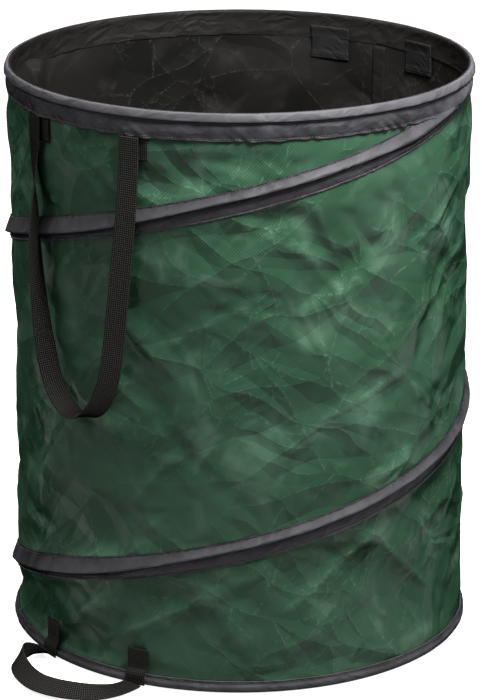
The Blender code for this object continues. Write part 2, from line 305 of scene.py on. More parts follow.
def grid_mesh(name: str, points: np.ndarray, rounds: bool, uv: np.ndarray | None = None) -> Thing:
    """A closed mesh through a grid of points, one closed section for each station.

    Args:
        name: the piece's name.
        points: stations, section points, XYZ.
        rounds: the last station joins the first; else both end sections are filled.
        uv: stations, section points, UV in metres.

    Returns:
        The new object, shaded smooth.
    """
    stations, around = points.shape[:2]
    index = np.arange(stations * around).reshape(stations, around)
    i = np.arange(stations if rounds else stations - 1)[:, None]
    k = np.arange(around)[None, :]
    j, m = (i + 1) % stations, (k + 1) % around
    square = index[i, k], index[i, m], index[j, m], index[j, k]
    quads = np.stack(np.broadcast_arrays(*square), -1).reshape(-1, 4)
    ends = [] if rounds else [index[0][::-1].tolist(), index[-1].tolist()]
    mesh = bpy.data.meshes.new(name)
    mesh.from_pydata(points.reshape(-1, 3).tolist(), [], quads.tolist() + ends)
    if uv is not None:
        values = np.zeros((len(mesh.loops), 2))
        corners = [uv[i + di, k + dk] for di, dk in ((0, 0), (0, 1), (1, 1), (1, 0))]
        values[:len(quads) * 4] = np.stack(corners, axis=2).reshape(-1, 2)
        set_uv(mesh, values)
    mesh.update()
    thing = add_object(name, mesh)
    outwards(thing)
    mesh.shade_smooth()
    return thing


def outwards(thing: Thing) -> None:
    """Turns a closed mesh's faces outwards if its signed volume is negative."""
    mesh = thing.data
    mesh.calc_loop_triangles()
    corners = np.zeros(len(mesh.loop_triangles) * 3, dtype=np.int32)
    mesh.loop_triangles.foreach_get("vertices", corners)
    spots = np.zeros(len(mesh.vertices) * 3)
    mesh.vertices.foreach_get("co", spots)
    a, b, c = spots.reshape(-1, 3)[corners.reshape(-1, 3)].transpose(1, 0, 2)
    if np.einsum("ij,ij->i", a, np.cross(b, c)).sum() < 0:
        mesh.flip_normals()


def float_attribute(thing: Thing, name: str, values: np.ndarray | None = None) -> None:
    """Stores one number for each vertex, 0 unless values are given."""
    if values is None:
        values = np.zeros(len(thing.data.vertices))
    made = thing.data.attributes.new(name, "FLOAT", "POINT")
    made.data.foreach_set("value", values.astype(np.float32).ravel())


def uv_grid(across: np.ndarray, along: np.ndarray) -> np.ndarray:
    """UV in metres from positions across a section and along the stations, with a closing row and column."""
    along = np.append(along, 2 * along[-1] - along[-2])
    across = np.append(across, 2 * across[-1] - across[-2])
    return np.stack(np.meshgrid(across, along), axis=-1)


def curved(points: np.ndarray, steps: int) -> np.ndarray:
    """A smooth curve through points, with one more before the first and after the last to lean on.

    Args:
        points: the points with those two.
        steps: how many points to make from each to the next.

    Returns:
        The curve without its last point.
    """
    t = np.linspace(0, 1, steps, endpoint=False)[:, None]
    return np.concatenate([
        0.5 * (2 * b + (c - a) * t + (2 * a - 5 * b + 4 * c - d) * t ** 2 + (3 * b - a - 3 * c + d) * t ** 3)
        for a, b, c, d in zip(points, points[1:], points[2:], points[3:])])


def resampled(section: Section, count: int) -> np.ndarray:
    """Even points round a closed smooth curve through a section's points, which are in millimetres."""
    given = np.array(section) * MM
    curve = curved(np.vstack([given[-1:], given, given[:2]]), 24)
    curve = np.vstack([curve, curve[:1]])
    way = travelled(curve)
    at = np.linspace(0, way[-1], count, endpoint=False)
    return np.stack([np.interp(at, way, curve[:, i]) for i in (0, 1)], axis=1)


class Spline:
    """A smooth curve through given points, read by the length of its first three columns."""

    def __init__(self, points: list[tuple[float, ...]], cornered: bool = False) -> None:
        """Fits the curve.

        Args:
            points: the points that it passes through.
            cornered: it stops at each point, so that it goes straight from one to the next.
        """
        given = np.repeat(np.array(points, dtype=float), 2 if cornered else 1, axis=0)
        padded = np.vstack([2 * given[0] - given[1], given, 2 * given[-1] - given[-2]])
        self.curve = np.vstack([curved(padded, 40), given[-1:]])
        self.way = travelled(self.curve[:, :3])

    @property
    def length(self) -> float:
        """The curve's length."""
        return float(self.way[-1])

    def spread(self, count: int) -> np.ndarray:
        """Evenly spaced points along the whole curve, a row for each column of the given points."""
        distance = np.linspace(0, self.length, count)
        return np.stack([np.interp(distance, self.way, column) for column in self.curve.T])


class Side(Enum):
    """The side of the bag that a carry handle hangs on."""

    FRONT = "front"
    REAR = "rear"

    @property
    def azimuth(self) -> float:
        """The azimuth of the handle's middle."""
        return 0.0 if self is Side.FRONT else math.pi

    def seams(self) -> list[tuple[str, float, int]]:
        """The name, the azimuth and the sign of the left and right seam of the handle."""
        return [(f"{self.value}_{hand}", self.azimuth + sign * SIZES.strap_azimuth, sign)
                for hand, sign in (("left", -1), ("right", 1))]


STRAP_SEAMS = [seam for side in Side for seam in side.seams()]


# Finishes


class Finish:
    """What every finish shares: a material with one shader, made on its first use."""

    _made: dict[str, bpy.types.Material] = {}

    def material(self) -> bpy.types.Material:
        """The material of this finish."""
        if self.name not in Finish._made:
            new = bpy.data.materials.new(self.name)
            new.use_nodes = True
            new.node_tree.nodes.clear()
            nodes = Nodes(new.node_tree)
            shader = nodes.add("ShaderNodeBsdfPrincipled")
            nodes.add("ShaderNodeOutputMaterial", {"Surface": shader.outputs["BSDF"]})
            nodes.fill(shader, self.look(nodes))
            Finish._made[self.name] = new
        return Finish._made[self.name]

    def look(self, nodes: Nodes) -> dict:
        """Adds the finish's own nodes and returns the shader's inputs."""
        raise NotImplementedError


@dataclass(frozen=True)
class Crumple:
    """One size of the small flat facets that stiff cloth crumples into, finer than its mesh.

    Attributes:
        size: how large the cells are, in millimetres.
        stretch: how much longer than wide they are.
        slope: how steep their faces are.
        lean: the direction of their long side, in degrees.
        clear: how much of the cloth is free of them, from 0 to 1.
    """

    size: float
    stretch: float
    slope: float
    lean: float
    clear: float

    def add(self, nodes: Nodes, uv: Socket) -> tuple[Socket, Socket]:
        """Ridges along the borders of stretched cells, with flat slopes between them, in patches.

        Args:
            nodes: the material's nodes.
            uv: the sheet's UV map, in metres.

        Returns:
            The height in metres, and how near a ridge is, from 0 to 1.
        """
        size = self.size * MM
        narrow = size / math.sqrt(self.stretch)
        bent = nodes.noise(uv, 0.5 / size, 2.0, "Color")
        sway = nodes.add("ShaderNodeVectorMath", {0: bent, 3: 1.1 * size}, operation="SCALE")
        moved = nodes.add("ShaderNodeVectorMath", {0: uv, 1: sway.outputs[0]}, operation="ADD")
        turned = nodes.add("ShaderNodeMapping", {
            "Vector": moved.outputs[0], "Rotation": (0, 0, math.radians(self.lean)),
            "Scale": (narrow * self.stretch, narrow, 1)}, vector_type="TEXTURE")
        edge = nodes.add("ShaderNodeTexVoronoi", {"Vector": turned.outputs[0], "Scale": 1.0},
                         voronoi_dimensions="2D", feature="DISTANCE_TO_EDGE").outputs["Distance"]
        share = nodes.ramp(nodes.noise(uv, 0.3 / size, 1.0), self.clear - 0.08, self.clear + 0.12)
        near = nodes.ramp(edge, 0.0, 1.1 * MM / narrow, 1.0, 0.0)
        rise = nodes.step("MULTIPLY", edge, -self.slope * narrow)
        return nodes.step("MULTIPLY", rise, share), nodes.step("MULTIPLY", near, share)


def crumpled(nodes: Nodes, uv: Socket, crumples: tuple[Crumple, ...]) -> list[Socket]:
    """All sizes of crumples together: the raised surface, and how near a ridge is."""
    (rise, near), *more = [crumple.add(nodes, uv) for crumple in crumples]
    for next_rise, next_near in more:
        rise = nodes.step("ADD", rise, next_rise)
        near = nodes.step("MAXIMUM", near, next_near)
    return [nodes.bump(rise, 1.0, 1.0), near]


@dataclass(frozen=True)
class WovenLaminate(Finish):
    """Woven polyethylene with a laminated film: its flat tapes show as a fine hatch.

    The film gives it a soft plastic shine. Its sharp creases are drawn paler, and broad pale patches are
    painted highlight.
    Real tapes are finer. They are drawn coarser, so that a view of the whole bag shows them.
    """

    name: str = "woven polyethylene laminate, green"
    colour: str = "#324E3D"
    shade: str = "#264230"
    # The paler colour of creases, also used for the painted highlight patches.
    crease: str = "#75947F"
    gap_colour: str = "#182F20"
    roughness: float = 0.34
    weave: float = 3.0 * MM
    weave_depth: float = 0.05 * MM
    blotch: float = 0.10
    # The size of the broad pale patches that are painted highlight.
    cloud: float = 70 * MM
    scar_share: float = 0.20
    crease_share: float = 0.12
    sheen: float = 0.08
    # How far those patches turn to the crease colour: painted highlight.
    painted_sheen: float = 0.17
    crumples: tuple[Crumple, ...] = (
        Crumple(130, 2.2, 0.17, 36, 0.38), Crumple(64, 2.6, 0.15, -34, 0.46),
        Crumple(28, 2.4, 0.12, 44, 0.52))

    def look(self, nodes: Nodes) -> dict:
        """Weave and creases on the sheet's own UV map, in metres."""
        uv, place = nodes.uv(), nodes.place()
        turned = nodes.add("ShaderNodeMapping", {"Vector": uv, "Rotation": (0, 0, math.radians(45)),
                                                 "Scale": (1 / self.weave,) * 3}, vector_type="POINT")
        warp, weft = [nodes.step("SINE", nodes.step("MULTIPLY", part, TURN))
                      for part in nodes.split(turned.outputs[0])[:2]]
        hatch = nodes.step("ADD", nodes.step("MULTIPLY", warp, 0.7), nodes.step("MULTIPLY", weft, 0.35))
        blotches = nodes.noise(place, 1 / self.blotch, 3.0)
        scuffs = nodes.noise(place, 0.22 / MM, 4.0)
        clouds = nodes.noise(uv, 1 / self.cloud, 3.0, distortion=0.6)
        tone = nodes.mix(nodes.ramp(blotches, 0.35, 0.65), self.shade, self.colour)
        tone = nodes.mix(nodes.ramp(hatch, -0.9, 0.9, 0.0, 0.5), tone, self.gap_colour)
        # Painted highlight: broad pale patches mixed towards the crease colour.
        tone = nodes.mix(nodes.ramp(clouds, 0.50, 0.72, 0.0, self.painted_sheen), tone, self.crease)
        line = nodes.step("MULTIPLY", nodes.ramp(nodes.attribute("crease"), 0.25, 1.0),
                          nodes.ramp(scuffs, 0.35, 0.7, 0.35, 1.0))
        tone = nodes.mix(nodes.step("MULTIPLY", line, self.crease_share), tone, self.crease)
        folds, near = crumpled(nodes, uv, self.crumples)
        scars = nodes.step("MULTIPLY", near, nodes.ramp(scuffs, 0.4, 0.7))
        tone = nodes.mix(nodes.step("MULTIPLY", scars, self.scar_share), tone, self.crease)
        rough = nodes.step("ADD", nodes.ramp(blotches, 0.3, 0.7, -0.04, 0.04), self.roughness)
        height = nodes.step("ADD", nodes.step("MULTIPLY", hatch, 0.5), nodes.step("MULTIPLY", scuffs, 0.6))
        return {"Base Color": tone, "Roughness": rough, "IOR": 1.5,
                "Specular IOR Level": nodes.gloss(self.sheen),
                "Normal": nodes.bump(height, 0.5, self.weave_depth, Normal=folds)}


@dataclass(frozen=True)
class BindingTape(Finish):
    """Coated polyester binding tape: a fine plain weave with a little shine, paler along its folds and edges,
    partly as painted highlight.
    """

    name: str = "coated polyester binding tape, dark grey"
    colour: str = "#313034"
    shade: str = "#1C1B1D"
    # A paler colour along folds and edges, also used as painted highlight.
    pale_edge_and_highlight: str = "#5A595C"
    roughness: float = 0.56
    weave: float = 0.9 * MM
    sheen: float = 0.14
    crumples: tuple[Crumple, ...] = (Crumple(26, 3.4, 0.17, 79, 0.40), Crumple(12, 2.4, 0.14, 58, 0.48))

    def look(self, nodes: Nodes) -> dict:
        """Rib and blotches on Object coordinates; from an attribute, a paler colour along folds and edges,
        and a painted highlight on the lit roll or ridge.
        """
        place = nodes.place()
        rib = nodes.step("SINE", nodes.step("MULTIPLY", nodes.split(place)[2], TURN / self.weave))
        tone = nodes.mix(nodes.ramp(nodes.noise(place, 0.045 / MM, 3.0), 0.3, 0.7), self.shade, self.colour)
        # Paler along folds and edges, and painted highlight where the attribute marks a lit roll or ridge.
        tone = nodes.mix(nodes.step("MULTIPLY", nodes.attribute("fold"), 0.75), tone, self.pale_edge_and_highlight)
        height = nodes.step("ADD", nodes.step("MULTIPLY", rib, 0.25), nodes.noise(place, 0.6 / MM, 3.0))
        folds, _ = crumpled(nodes, nodes.uv(), self.crumples)
        return {"Base Color": tone, "Roughness": self.roughness, "IOR": 1.5,
                "Specular IOR Level": nodes.gloss(self.sheen),
                "Normal": nodes.bump(height, 0.45, 0.10 * MM, Normal=folds)}


@dataclass(frozen=True)
class Webbing(Finish):
    """Woven polypropylene webbing: thick yarns in a diamond grid on black, their raised tops paler, partly
    wear and partly painted highlight.

    The real grid is finer. It is drawn a little coarser, so that a view of the whole bag still shows it.
    """

    name: str = "woven polypropylene webbing, black"
    colour: str = "#0B0B0A"
    # The raised yarns' paler tops: partly wear, partly painted highlight.
    pick_wear_and_highlight: str = "#4A4844"
    roughness: float = 0.62
    pick: float = 2.5 * MM
    sheen: float = 0.05

    def look(self, nodes: Nodes) -> dict:
        """The yarns cross on both diagonals of the strap's UV map, in metres."""
        uv = nodes.uv()
        across, along = [nodes.step("MULTIPLY", part, math.pi / self.pick) for part in nodes.split(uv)[:2]]
        one, other = [nodes.step("SINE", nodes.step(sign, across, along)) for sign in ("ADD", "SUBTRACT")]
        dots = nodes.ramp(nodes.step("MULTIPLY", one, other), 0.05, 0.75)
        height = nodes.step("ADD", dots, nodes.step("MULTIPLY", nodes.noise(uv, 0.9 / MM, 2.0), 0.4))
        return {"Base Color": nodes.mix(nodes.step("MULTIPLY", dots, 0.6), self.colour, self.pick_wear_and_highlight),
                "Roughness": self.roughness, "IOR": 1.49, "Specular IOR Level": nodes.gloss(self.sheen),
                "Normal": nodes.bump(height, 0.8, 0.35 * MM)}


@dataclass(frozen=True)
class SewingThread(Finish):
    """Bonded polyester sewing thread: twisted, with a low shine."""

    name: str = "bonded polyester sewing thread, dark grey"
    colour: str = "#5C585C"
    shade: str = "#39363A"
    roughness: float = 0.5
    twist: float = 1.1 * MM

    def look(self, nodes: Nodes) -> dict:
        """A twist that varies the tone along each stitch."""
        twist = nodes.noise(nodes.place(), 1 / self.twist, 2.0)
        return {"Base Color": nodes.mix(twist, self.shade, self.colour), "Roughness": self.roughness,
                "Specular IOR Level": 0.1}


@dataclass(frozen=True)
class SpringSteel(Finish):
    """Drawn spring steel, zinc plated: a cloudy tone and a soft metal shine."""

    name: str = "zinc-plated spring steel wire"
    colour: str = "#B9BABC"
    shade: str = "#8E9093"
    roughness: float = 0.34

    def look(self, nodes: Nodes) -> dict:
        """The zinc's clouds vary the tone and the shine."""
        cloud = nodes.noise(nodes.place(), 0.12 / MM, 4.0)
        return {"Base Color": nodes.mix(cloud, self.shade, self.colour), "Metallic": 1.0,
                "Roughness": nodes.ramp(cloud, 0.3, 0.7, self.roughness - 0.06, self.roughness + 0.08)}


@dataclass(frozen=True)
class MouldedCap(Finish):
    """Moulded polyethylene: a waxy low shine."""

    name: str = "moulded polyethylene, black"
    colour: str = "#222222"
    shade: str = "#1A1A1A"
    roughness: float = 0.45

    def look(self, nodes: Nodes) -> dict:
        """A fine mould grain."""
        grain = nodes.noise(nodes.place(), 1.2 / MM, 2.0)
        return {"Base Color": nodes.mix(grain, self.shade, self.colour), "Roughness": self.roughness,
                "IOR": 1.51, "Normal": nodes.bump(grain, 0.3, 0.05 * MM)}


GREEN_LAMINATE = WovenLaminate()
# The black side, with fainter painted highlight patches.
BLACK_LINING = WovenLaminate(
    name="woven polyethylene laminate, black side", colour="#1B1A19", shade="#141413", gap_colour="#0C0B0B",
    crease="#5C5A56", roughness=0.46, weave=3.1 * MM, blotch=0.16, painted_sheen=0.08, crumples=(
        Crumple(150, 2.0, 0.09, 40, 0.38), Crumple(60, 2.6, 0.09, -38, 0.50),
        Crumple(28, 2.4, 0.08, 50, 0.54)))
BINDING = BindingTape()
# A darker copy of the binding tape for its inner leg: painted shade inside the bag.
INNER_LEG_PAINTED_SHADE = BindingTape("coated polyester binding tape, painted shade inside", "#1B1918", "#141312", "#211F1E", 0.6)
PATCH_CLOTH = BindingTape("coated polyester cloth, black grey", "#1A1A1A", "#131313", "#232424", 0.6)
SEAM_CLOTH = BindingTape("coated polyester tape, black", "#151413", "#100F0E", "#1A1918", 0.65)
WEBBING = Webbing()
THREAD = SewingThread()
BLACK_THREAD = SewingThread("bonded polyester sewing thread, black", "#232223", "#121212")
STEEL = SpringSteel()
CAP = MouldedCap()


# The cloth's creases


@dataclass(frozen=True)
class Facets:
    """One size of the flat, sharp-edged facets that crumpled laminate folds into.

    Attributes:
        size: how large they are, in millimetres.
        depth: how deep, in millimetres.
        stretch: how much longer than wide they are.
        lean: the direction of their long side, in degrees.
        seed: fixes the random draws.
        spare: the share of corners that are nearly flat.
        patchy: how much they vary over the cloth.
    """

    size: float
    depth: float
    stretch: float
    lean: float
    seed: int
    spare: float
    patchy: float = 0.0


@dataclass
class CrumpledSheet:
    """The depth of the creases over the wall, on a grid of azimuths and heights."""

    round_count: int = 456
    tall_count: int = 181
    lining_step: int = 3
    thickness: float = 0.8 * MM
    foot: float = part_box("wall_band_1")[0].z
    top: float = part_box("wall_band_8")[1].z
    random_folds: int = 34
    remembered: int = 900
    facets: tuple[Facets, ...] = (
        Facets(140, 4.2, 1.9, 38, 3, 0.0), Facets(78, 5.6, 2.6, -30, 11, 0.1),
        Facets(44, 3.2, 2.4, 42, 23, 0.3, 0.75), Facets(24, 1.3, 1.8, -40, 37, 0.4, 0.85))

    def __post_init__(self) -> None:
        """Lays out the grid."""
        self.azimuths = even_turn(self.round_count)
        self.heights = np.linspace(self.foot, self.top, self.tall_count)
        self.around = TURN * SIZES.wall_radius

    def shorter(self, way: np.ndarray) -> np.ndarray:
        """A way round the bag, in metres, taken in its shorter direction."""
        return (way + self.around / 2) % self.around - self.around / 2

    def facet_field(self, facets: Facets) -> np.ndarray:
        """Heights of one size of facets, read between the corners of its triangles.

        Args:
            facets: their size, depth and direction.

        Returns:
            A depth for each grid point.
        """
        draw = np.random.default_rng(facets.seed)
        lean, k, size = math.radians(facets.lean), math.sqrt(facets.stretch), facets.size * MM
        c, s = math.cos(lean), math.sin(lean)
        squeeze = np.array([[c / k, s / k], [-s * k, c * k]])
        tall = self.top - self.foot
        margin = size * 1.5
        count = int(self.around * (tall + 2 * margin) / size ** 2)
        spots = self.scattered(draw, count, tall, margin, squeeze)
        heights = draw.standard_normal(len(spots)) * facets.depth * MM
        heights[draw.random(len(spots)) < facets.spare] *= 0.25
        copies = np.vstack([spots + (shift, 0) for shift in (-self.around, 0, self.around)])
        heights = np.tile(heights, 3)
        near = (copies[:, 0] > -4 * margin) & (copies[:, 0] < self.around + 4 * margin)
        copies, heights = copies[near], heights[near]
        _, _, faces, source, _, _ = delaunay_2d_cdt([Vector(p) for p in copies @ squeeze.T], [], [], 0, 1e-7)
        origin = np.array([found[0] for found in source])
        level = self.rasterised(copies[origin], heights[origin], faces)
        a, z = self.azimuths[:, None], self.heights[None, :]
        wide = waves(a + z * 3.1, facets.seed + 1, 2, 7, 10)
        narrow = waves(a - z * 6.3, facets.seed + 2, 3, 9, 10)
        share = 1 - facets.patchy + facets.patchy * smooth(0.5 + 0.3 * (wide + narrow))
        return (0.4 * level - 0.8 * np.abs(level)) * share

    def scattered(self, draw: np.random.Generator, count: int, tall: float, margin: float,
                  squeeze: np.ndarray) -> np.ndarray:
        """Random spots that keep clear of each other, the best of six tries each."""
        spots = np.zeros((0, 2))
        for _ in range(count):
            places = draw.uniform(0, self.around, 6), draw.uniform(-margin, tall + margin, 6)
            tries = np.stack(places, axis=1)
            if len(spots):
                gap = tries[:, None] - spots[None, -self.remembered:]
                gap[..., 0] = self.shorter(gap[..., 0])
                tries = tries[[np.argmax((((gap @ squeeze.T) ** 2).sum(-1)).min(1))]]
            spots = np.vstack([spots, tries[:1]])
        return spots

    def rasterised(self, spots: np.ndarray, heights: np.ndarray, faces: list[list[int]]) -> np.ndarray:
        """Reads a mesh of triangles at the grid's points."""
        wide = self.around / self.round_count
        tall = (self.top - self.foot) / (self.tall_count - 1)
        result = np.zeros((self.round_count, self.tall_count))
        for face in faces:
            corners, level = spots[face], heights[face]
            low = np.maximum(np.ceil(corners.min(0) / (wide, tall)).astype(int), 0)
            high = np.minimum(np.floor(corners.max(0) / (wide, tall)).astype(int),
                              (self.round_count - 1, self.tall_count - 1))
            if (high < low).any():
                continue
            i, j = np.meshgrid(np.arange(low[0], high[0] + 1), np.arange(low[1], high[1] + 1), indexing="ij")
            point = np.stack([i * wide, j * tall], axis=-1) - corners[0]
            a, b = corners[1] - corners[0], corners[2] - corners[0]
            area = a[0] * b[1] - a[1] * b[0]
            if abs(area) < 1e-12:
                continue
            u = (point[..., 0] * b[1] - point[..., 1] * b[0]) / area
            v = (a[0] * point[..., 1] - a[1] * point[..., 0]) / area
            inside = (u >= -1e-6) & (v >= -1e-6) & (u + v <= 1 + 1e-6)
            result[i[inside], j[inside]] = (level[0] * (1 - u - v) + level[1] * u + level[2] * v)[inside]
        return result

    def fold_lines(self) -> np.ndarray:
        """Long folds of the cloth, some listed where they catch the light and some at random."""
        way = self.azimuths[:, None] * SIZES.wall_radius
        tall = self.heights[None, :]
        total = np.zeros((self.round_count, self.tall_count))
        draw = np.random.default_rng(71)
        lines = [(math.radians(a), za, math.radians(b), zb, 1.6 * depth * MM, width * MM)
                 for a, za, b, zb, depth, width in HAND_FOLDS]
        for _ in range(self.random_folds):
            a, z = draw.uniform(0, TURN), draw.uniform(0.04, 0.66)
            lean, length = draw.choice([-1, 1]) * draw.uniform(0.4, 1.1), draw.uniform(0.05, 0.13)
            lines.append((a, z, a + math.cos(lean) * length / SIZES.wall_radius, z + math.sin(lean) * length,
                          draw.uniform(0.6, 1.6) * MM, draw.uniform(9, 20) * MM))
        for a, za, b, zb, depth, width in lines:
            start = np.array([a * SIZES.wall_radius, za])
            run = np.array([b * SIZES.wall_radius, zb]) - start
            length = float(np.hypot(*run))
            dx = self.shorter(way - start[0])
            dy = tall - start[1]
            along = (dx * run[0] + dy * run[1]) / length ** 2
            off = (dx * run[1] - dy * run[0]) / length
            taper = smooth(np.minimum(along + 0.12, 1.12 - along) / 0.3)
            slope = np.where(off > 0, 1 - off / width, 1 + off / (width * 0.45))
            total += depth * np.clip(slope, 0, 1) ** 1.25 * taper
        return total

    def depth(self) -> np.ndarray:
        """All the creases together, fading where the cloth is sewn down."""
        total = sum(self.facet_field(facets) for facets in self.facets)
        a, z = self.azimuths[:, None], self.heights[None, :]
        total += self.seam_puckers(a, z)
        held = np.minimum.reduce([
            smooth((SIZES.rim_edge - z) / (28 * MM)) + 0 * a,
            smooth((z - SIZES.foot_edge) / (24 * MM)) + 0 * a,
            0.04 + 0.96 * smooth((np.abs(SIZES.gap_to_spring(a, z)) - 13 * MM) / (26 * MM)),
            0.45 + 0.55 * smooth((np.abs(a - math.pi) * SIZES.wall_radius - 14 * MM) / (30 * MM)) + 0 * z,
        ])
        held = held * self.clear_of_patches(a, z)
        right = np.exp(-(((a - math.radians(125)) / math.radians(42)) ** 2))
        upper = smooth((z - SIZES.spring_height(wrap(a))) / (60 * MM))
        loose = 3.0 * MM + 3.0 * MM * np.maximum(right * smooth((z - 0.2) / 0.2), 0.8 * upper)
        total = (total + loose) * held
        limit = np.where(total > 0, 6.0 * MM, 11 * MM)
        return limit * np.tanh(total / limit) + self.fold_lines() * held

    def clear_of_patches(self, a: np.ndarray, z: np.ndarray) -> np.ndarray:
        """0 where a patch and a strap tail are sewn on, rising to 1 round them."""
        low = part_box("front_left_inside_patch")[0].z
        free = np.ones((self.round_count, self.tall_count))
        for _, azimuth, _ in STRAP_SEAMS:
            out = np.maximum(np.abs(wrap(a - azimuth)) * SIZES.wall_radius - 28 * MM, low - 3 * MM - z)
            free = np.minimum(free, 0.03 + 0.97 * smooth(out / (24 * MM)))
        return free

    def seam_puckers(self, a: np.ndarray, z: np.ndarray) -> np.ndarray:
        """Short leaning ridges that run out from each seam."""
        total = np.zeros((self.round_count, self.tall_count))
        spring = SIZES.gap_to_spring(a, z)
        for away, seed, reach in ((SIZES.rim_edge - z + 0 * a, 5, 55), (z - SIZES.foot_edge + 0 * a, 6, 45),
                                  (spring - 15 * MM, 7, 50), (-spring - 15 * MM, 8, 50)):
            away = np.where(away < -5 * MM, FAR, away)
            leaning = a + away / SIZES.wall_radius * (0.9 if seed % 2 else -0.8)
            ridges = waves(leaning, seed, 18, 90, 26) * (0.5 + 0.5 * waves(a, seed + 30, 3, 11, 8))
            fade = np.exp(-np.clip(away, 0, FAR) / (reach * MM)) * smooth(away / (14 * MM) + 0.1)
            total += ridges * 0.6 * MM * fade
        return total

    def radius(self) -> np.ndarray:
        """The cloth's outer radius: drawn in between its supports, with its creases."""
        a, z = self.azimuths[:, None], self.heights[None, :]
        wrapped = wrap(a)
        levels = [np.full_like(wrapped, SIZES.foot_edge), np.full_like(wrapped, SIZES.rim_edge)]
        for turn in (-1, 0):
            way = wrapped + turn * TURN
            at = SIZES.spring_height(way)
            there = (way >= SIZES.foot_azimuth) & (at < SIZES.rim_edge)
            levels.append(np.where(there, np.clip(at, SIZES.foot_edge, SIZES.rim_edge), SIZES.foot_edge))
        stack = np.sort(np.concatenate(levels, axis=1), axis=1)
        drawn = np.zeros((self.round_count, self.tall_count))
        for low, high in zip(stack.T[:-1], stack.T[1:]):
            span = (high - low)[:, None]
            share = (z - low[:, None]) / np.maximum(span, 1e-6)
            bow = np.clip(4 * share * (1 - share), 0, 1)
            drawn = np.maximum(drawn, np.where((share > 0) & (share < 1), bow * span * 0.006, 0))
        return SIZES.wall_radius - 0.2 * MM - drawn + np.minimum(self.depth(), 6 * MM + drawn)

    def lining_radius(self, radius: np.ndarray) -> np.ndarray:
        """The black side's radius on its coarser grid, inside every nearby point of the green side."""
        inset = radius.copy()
        for axis in (0, 1) * self.lining_step:
            inset = np.minimum.reduce([inset, np.roll(inset, 1, axis), np.roll(inset, -1, axis)])
        return inset[::self.lining_step, ::self.lining_step] - self.thickness


# Azimuth in degrees and height in metres of both ends, then relative depth and width in millimetres
HAND_FOLDS = (
    (52, 0.555, 65, 0.480, 2.6, 26), (50, 0.098, 76, 0.185, 2.6, 24), (58, 0.330, 84, 0.372, 2.0, 24),
    (84, 0.372, 98, 0.300, 1.8, 18), (66, 0.225, 88, 0.270, 2.4, 22), (12, 0.225, 30, 0.330, 2.0, 22),
    (20, 0.420, 44, 0.480, 1.5, 20), (-6, 0.060, 16, 0.150, 2.6, 24), (4, 0.045, 34, 0.125, 2.4, 26),
    (-22, 0.210, -4, 0.330, 1.8, 18), (8, 0.610, 26, 0.575, 1.6, 18), (30, 0.640, 52, 0.610, 1.8, 20),
    (88, 0.520, 110, 0.585, 2.0, 22), (96, 0.440, 116, 0.520, 1.8, 20),
)


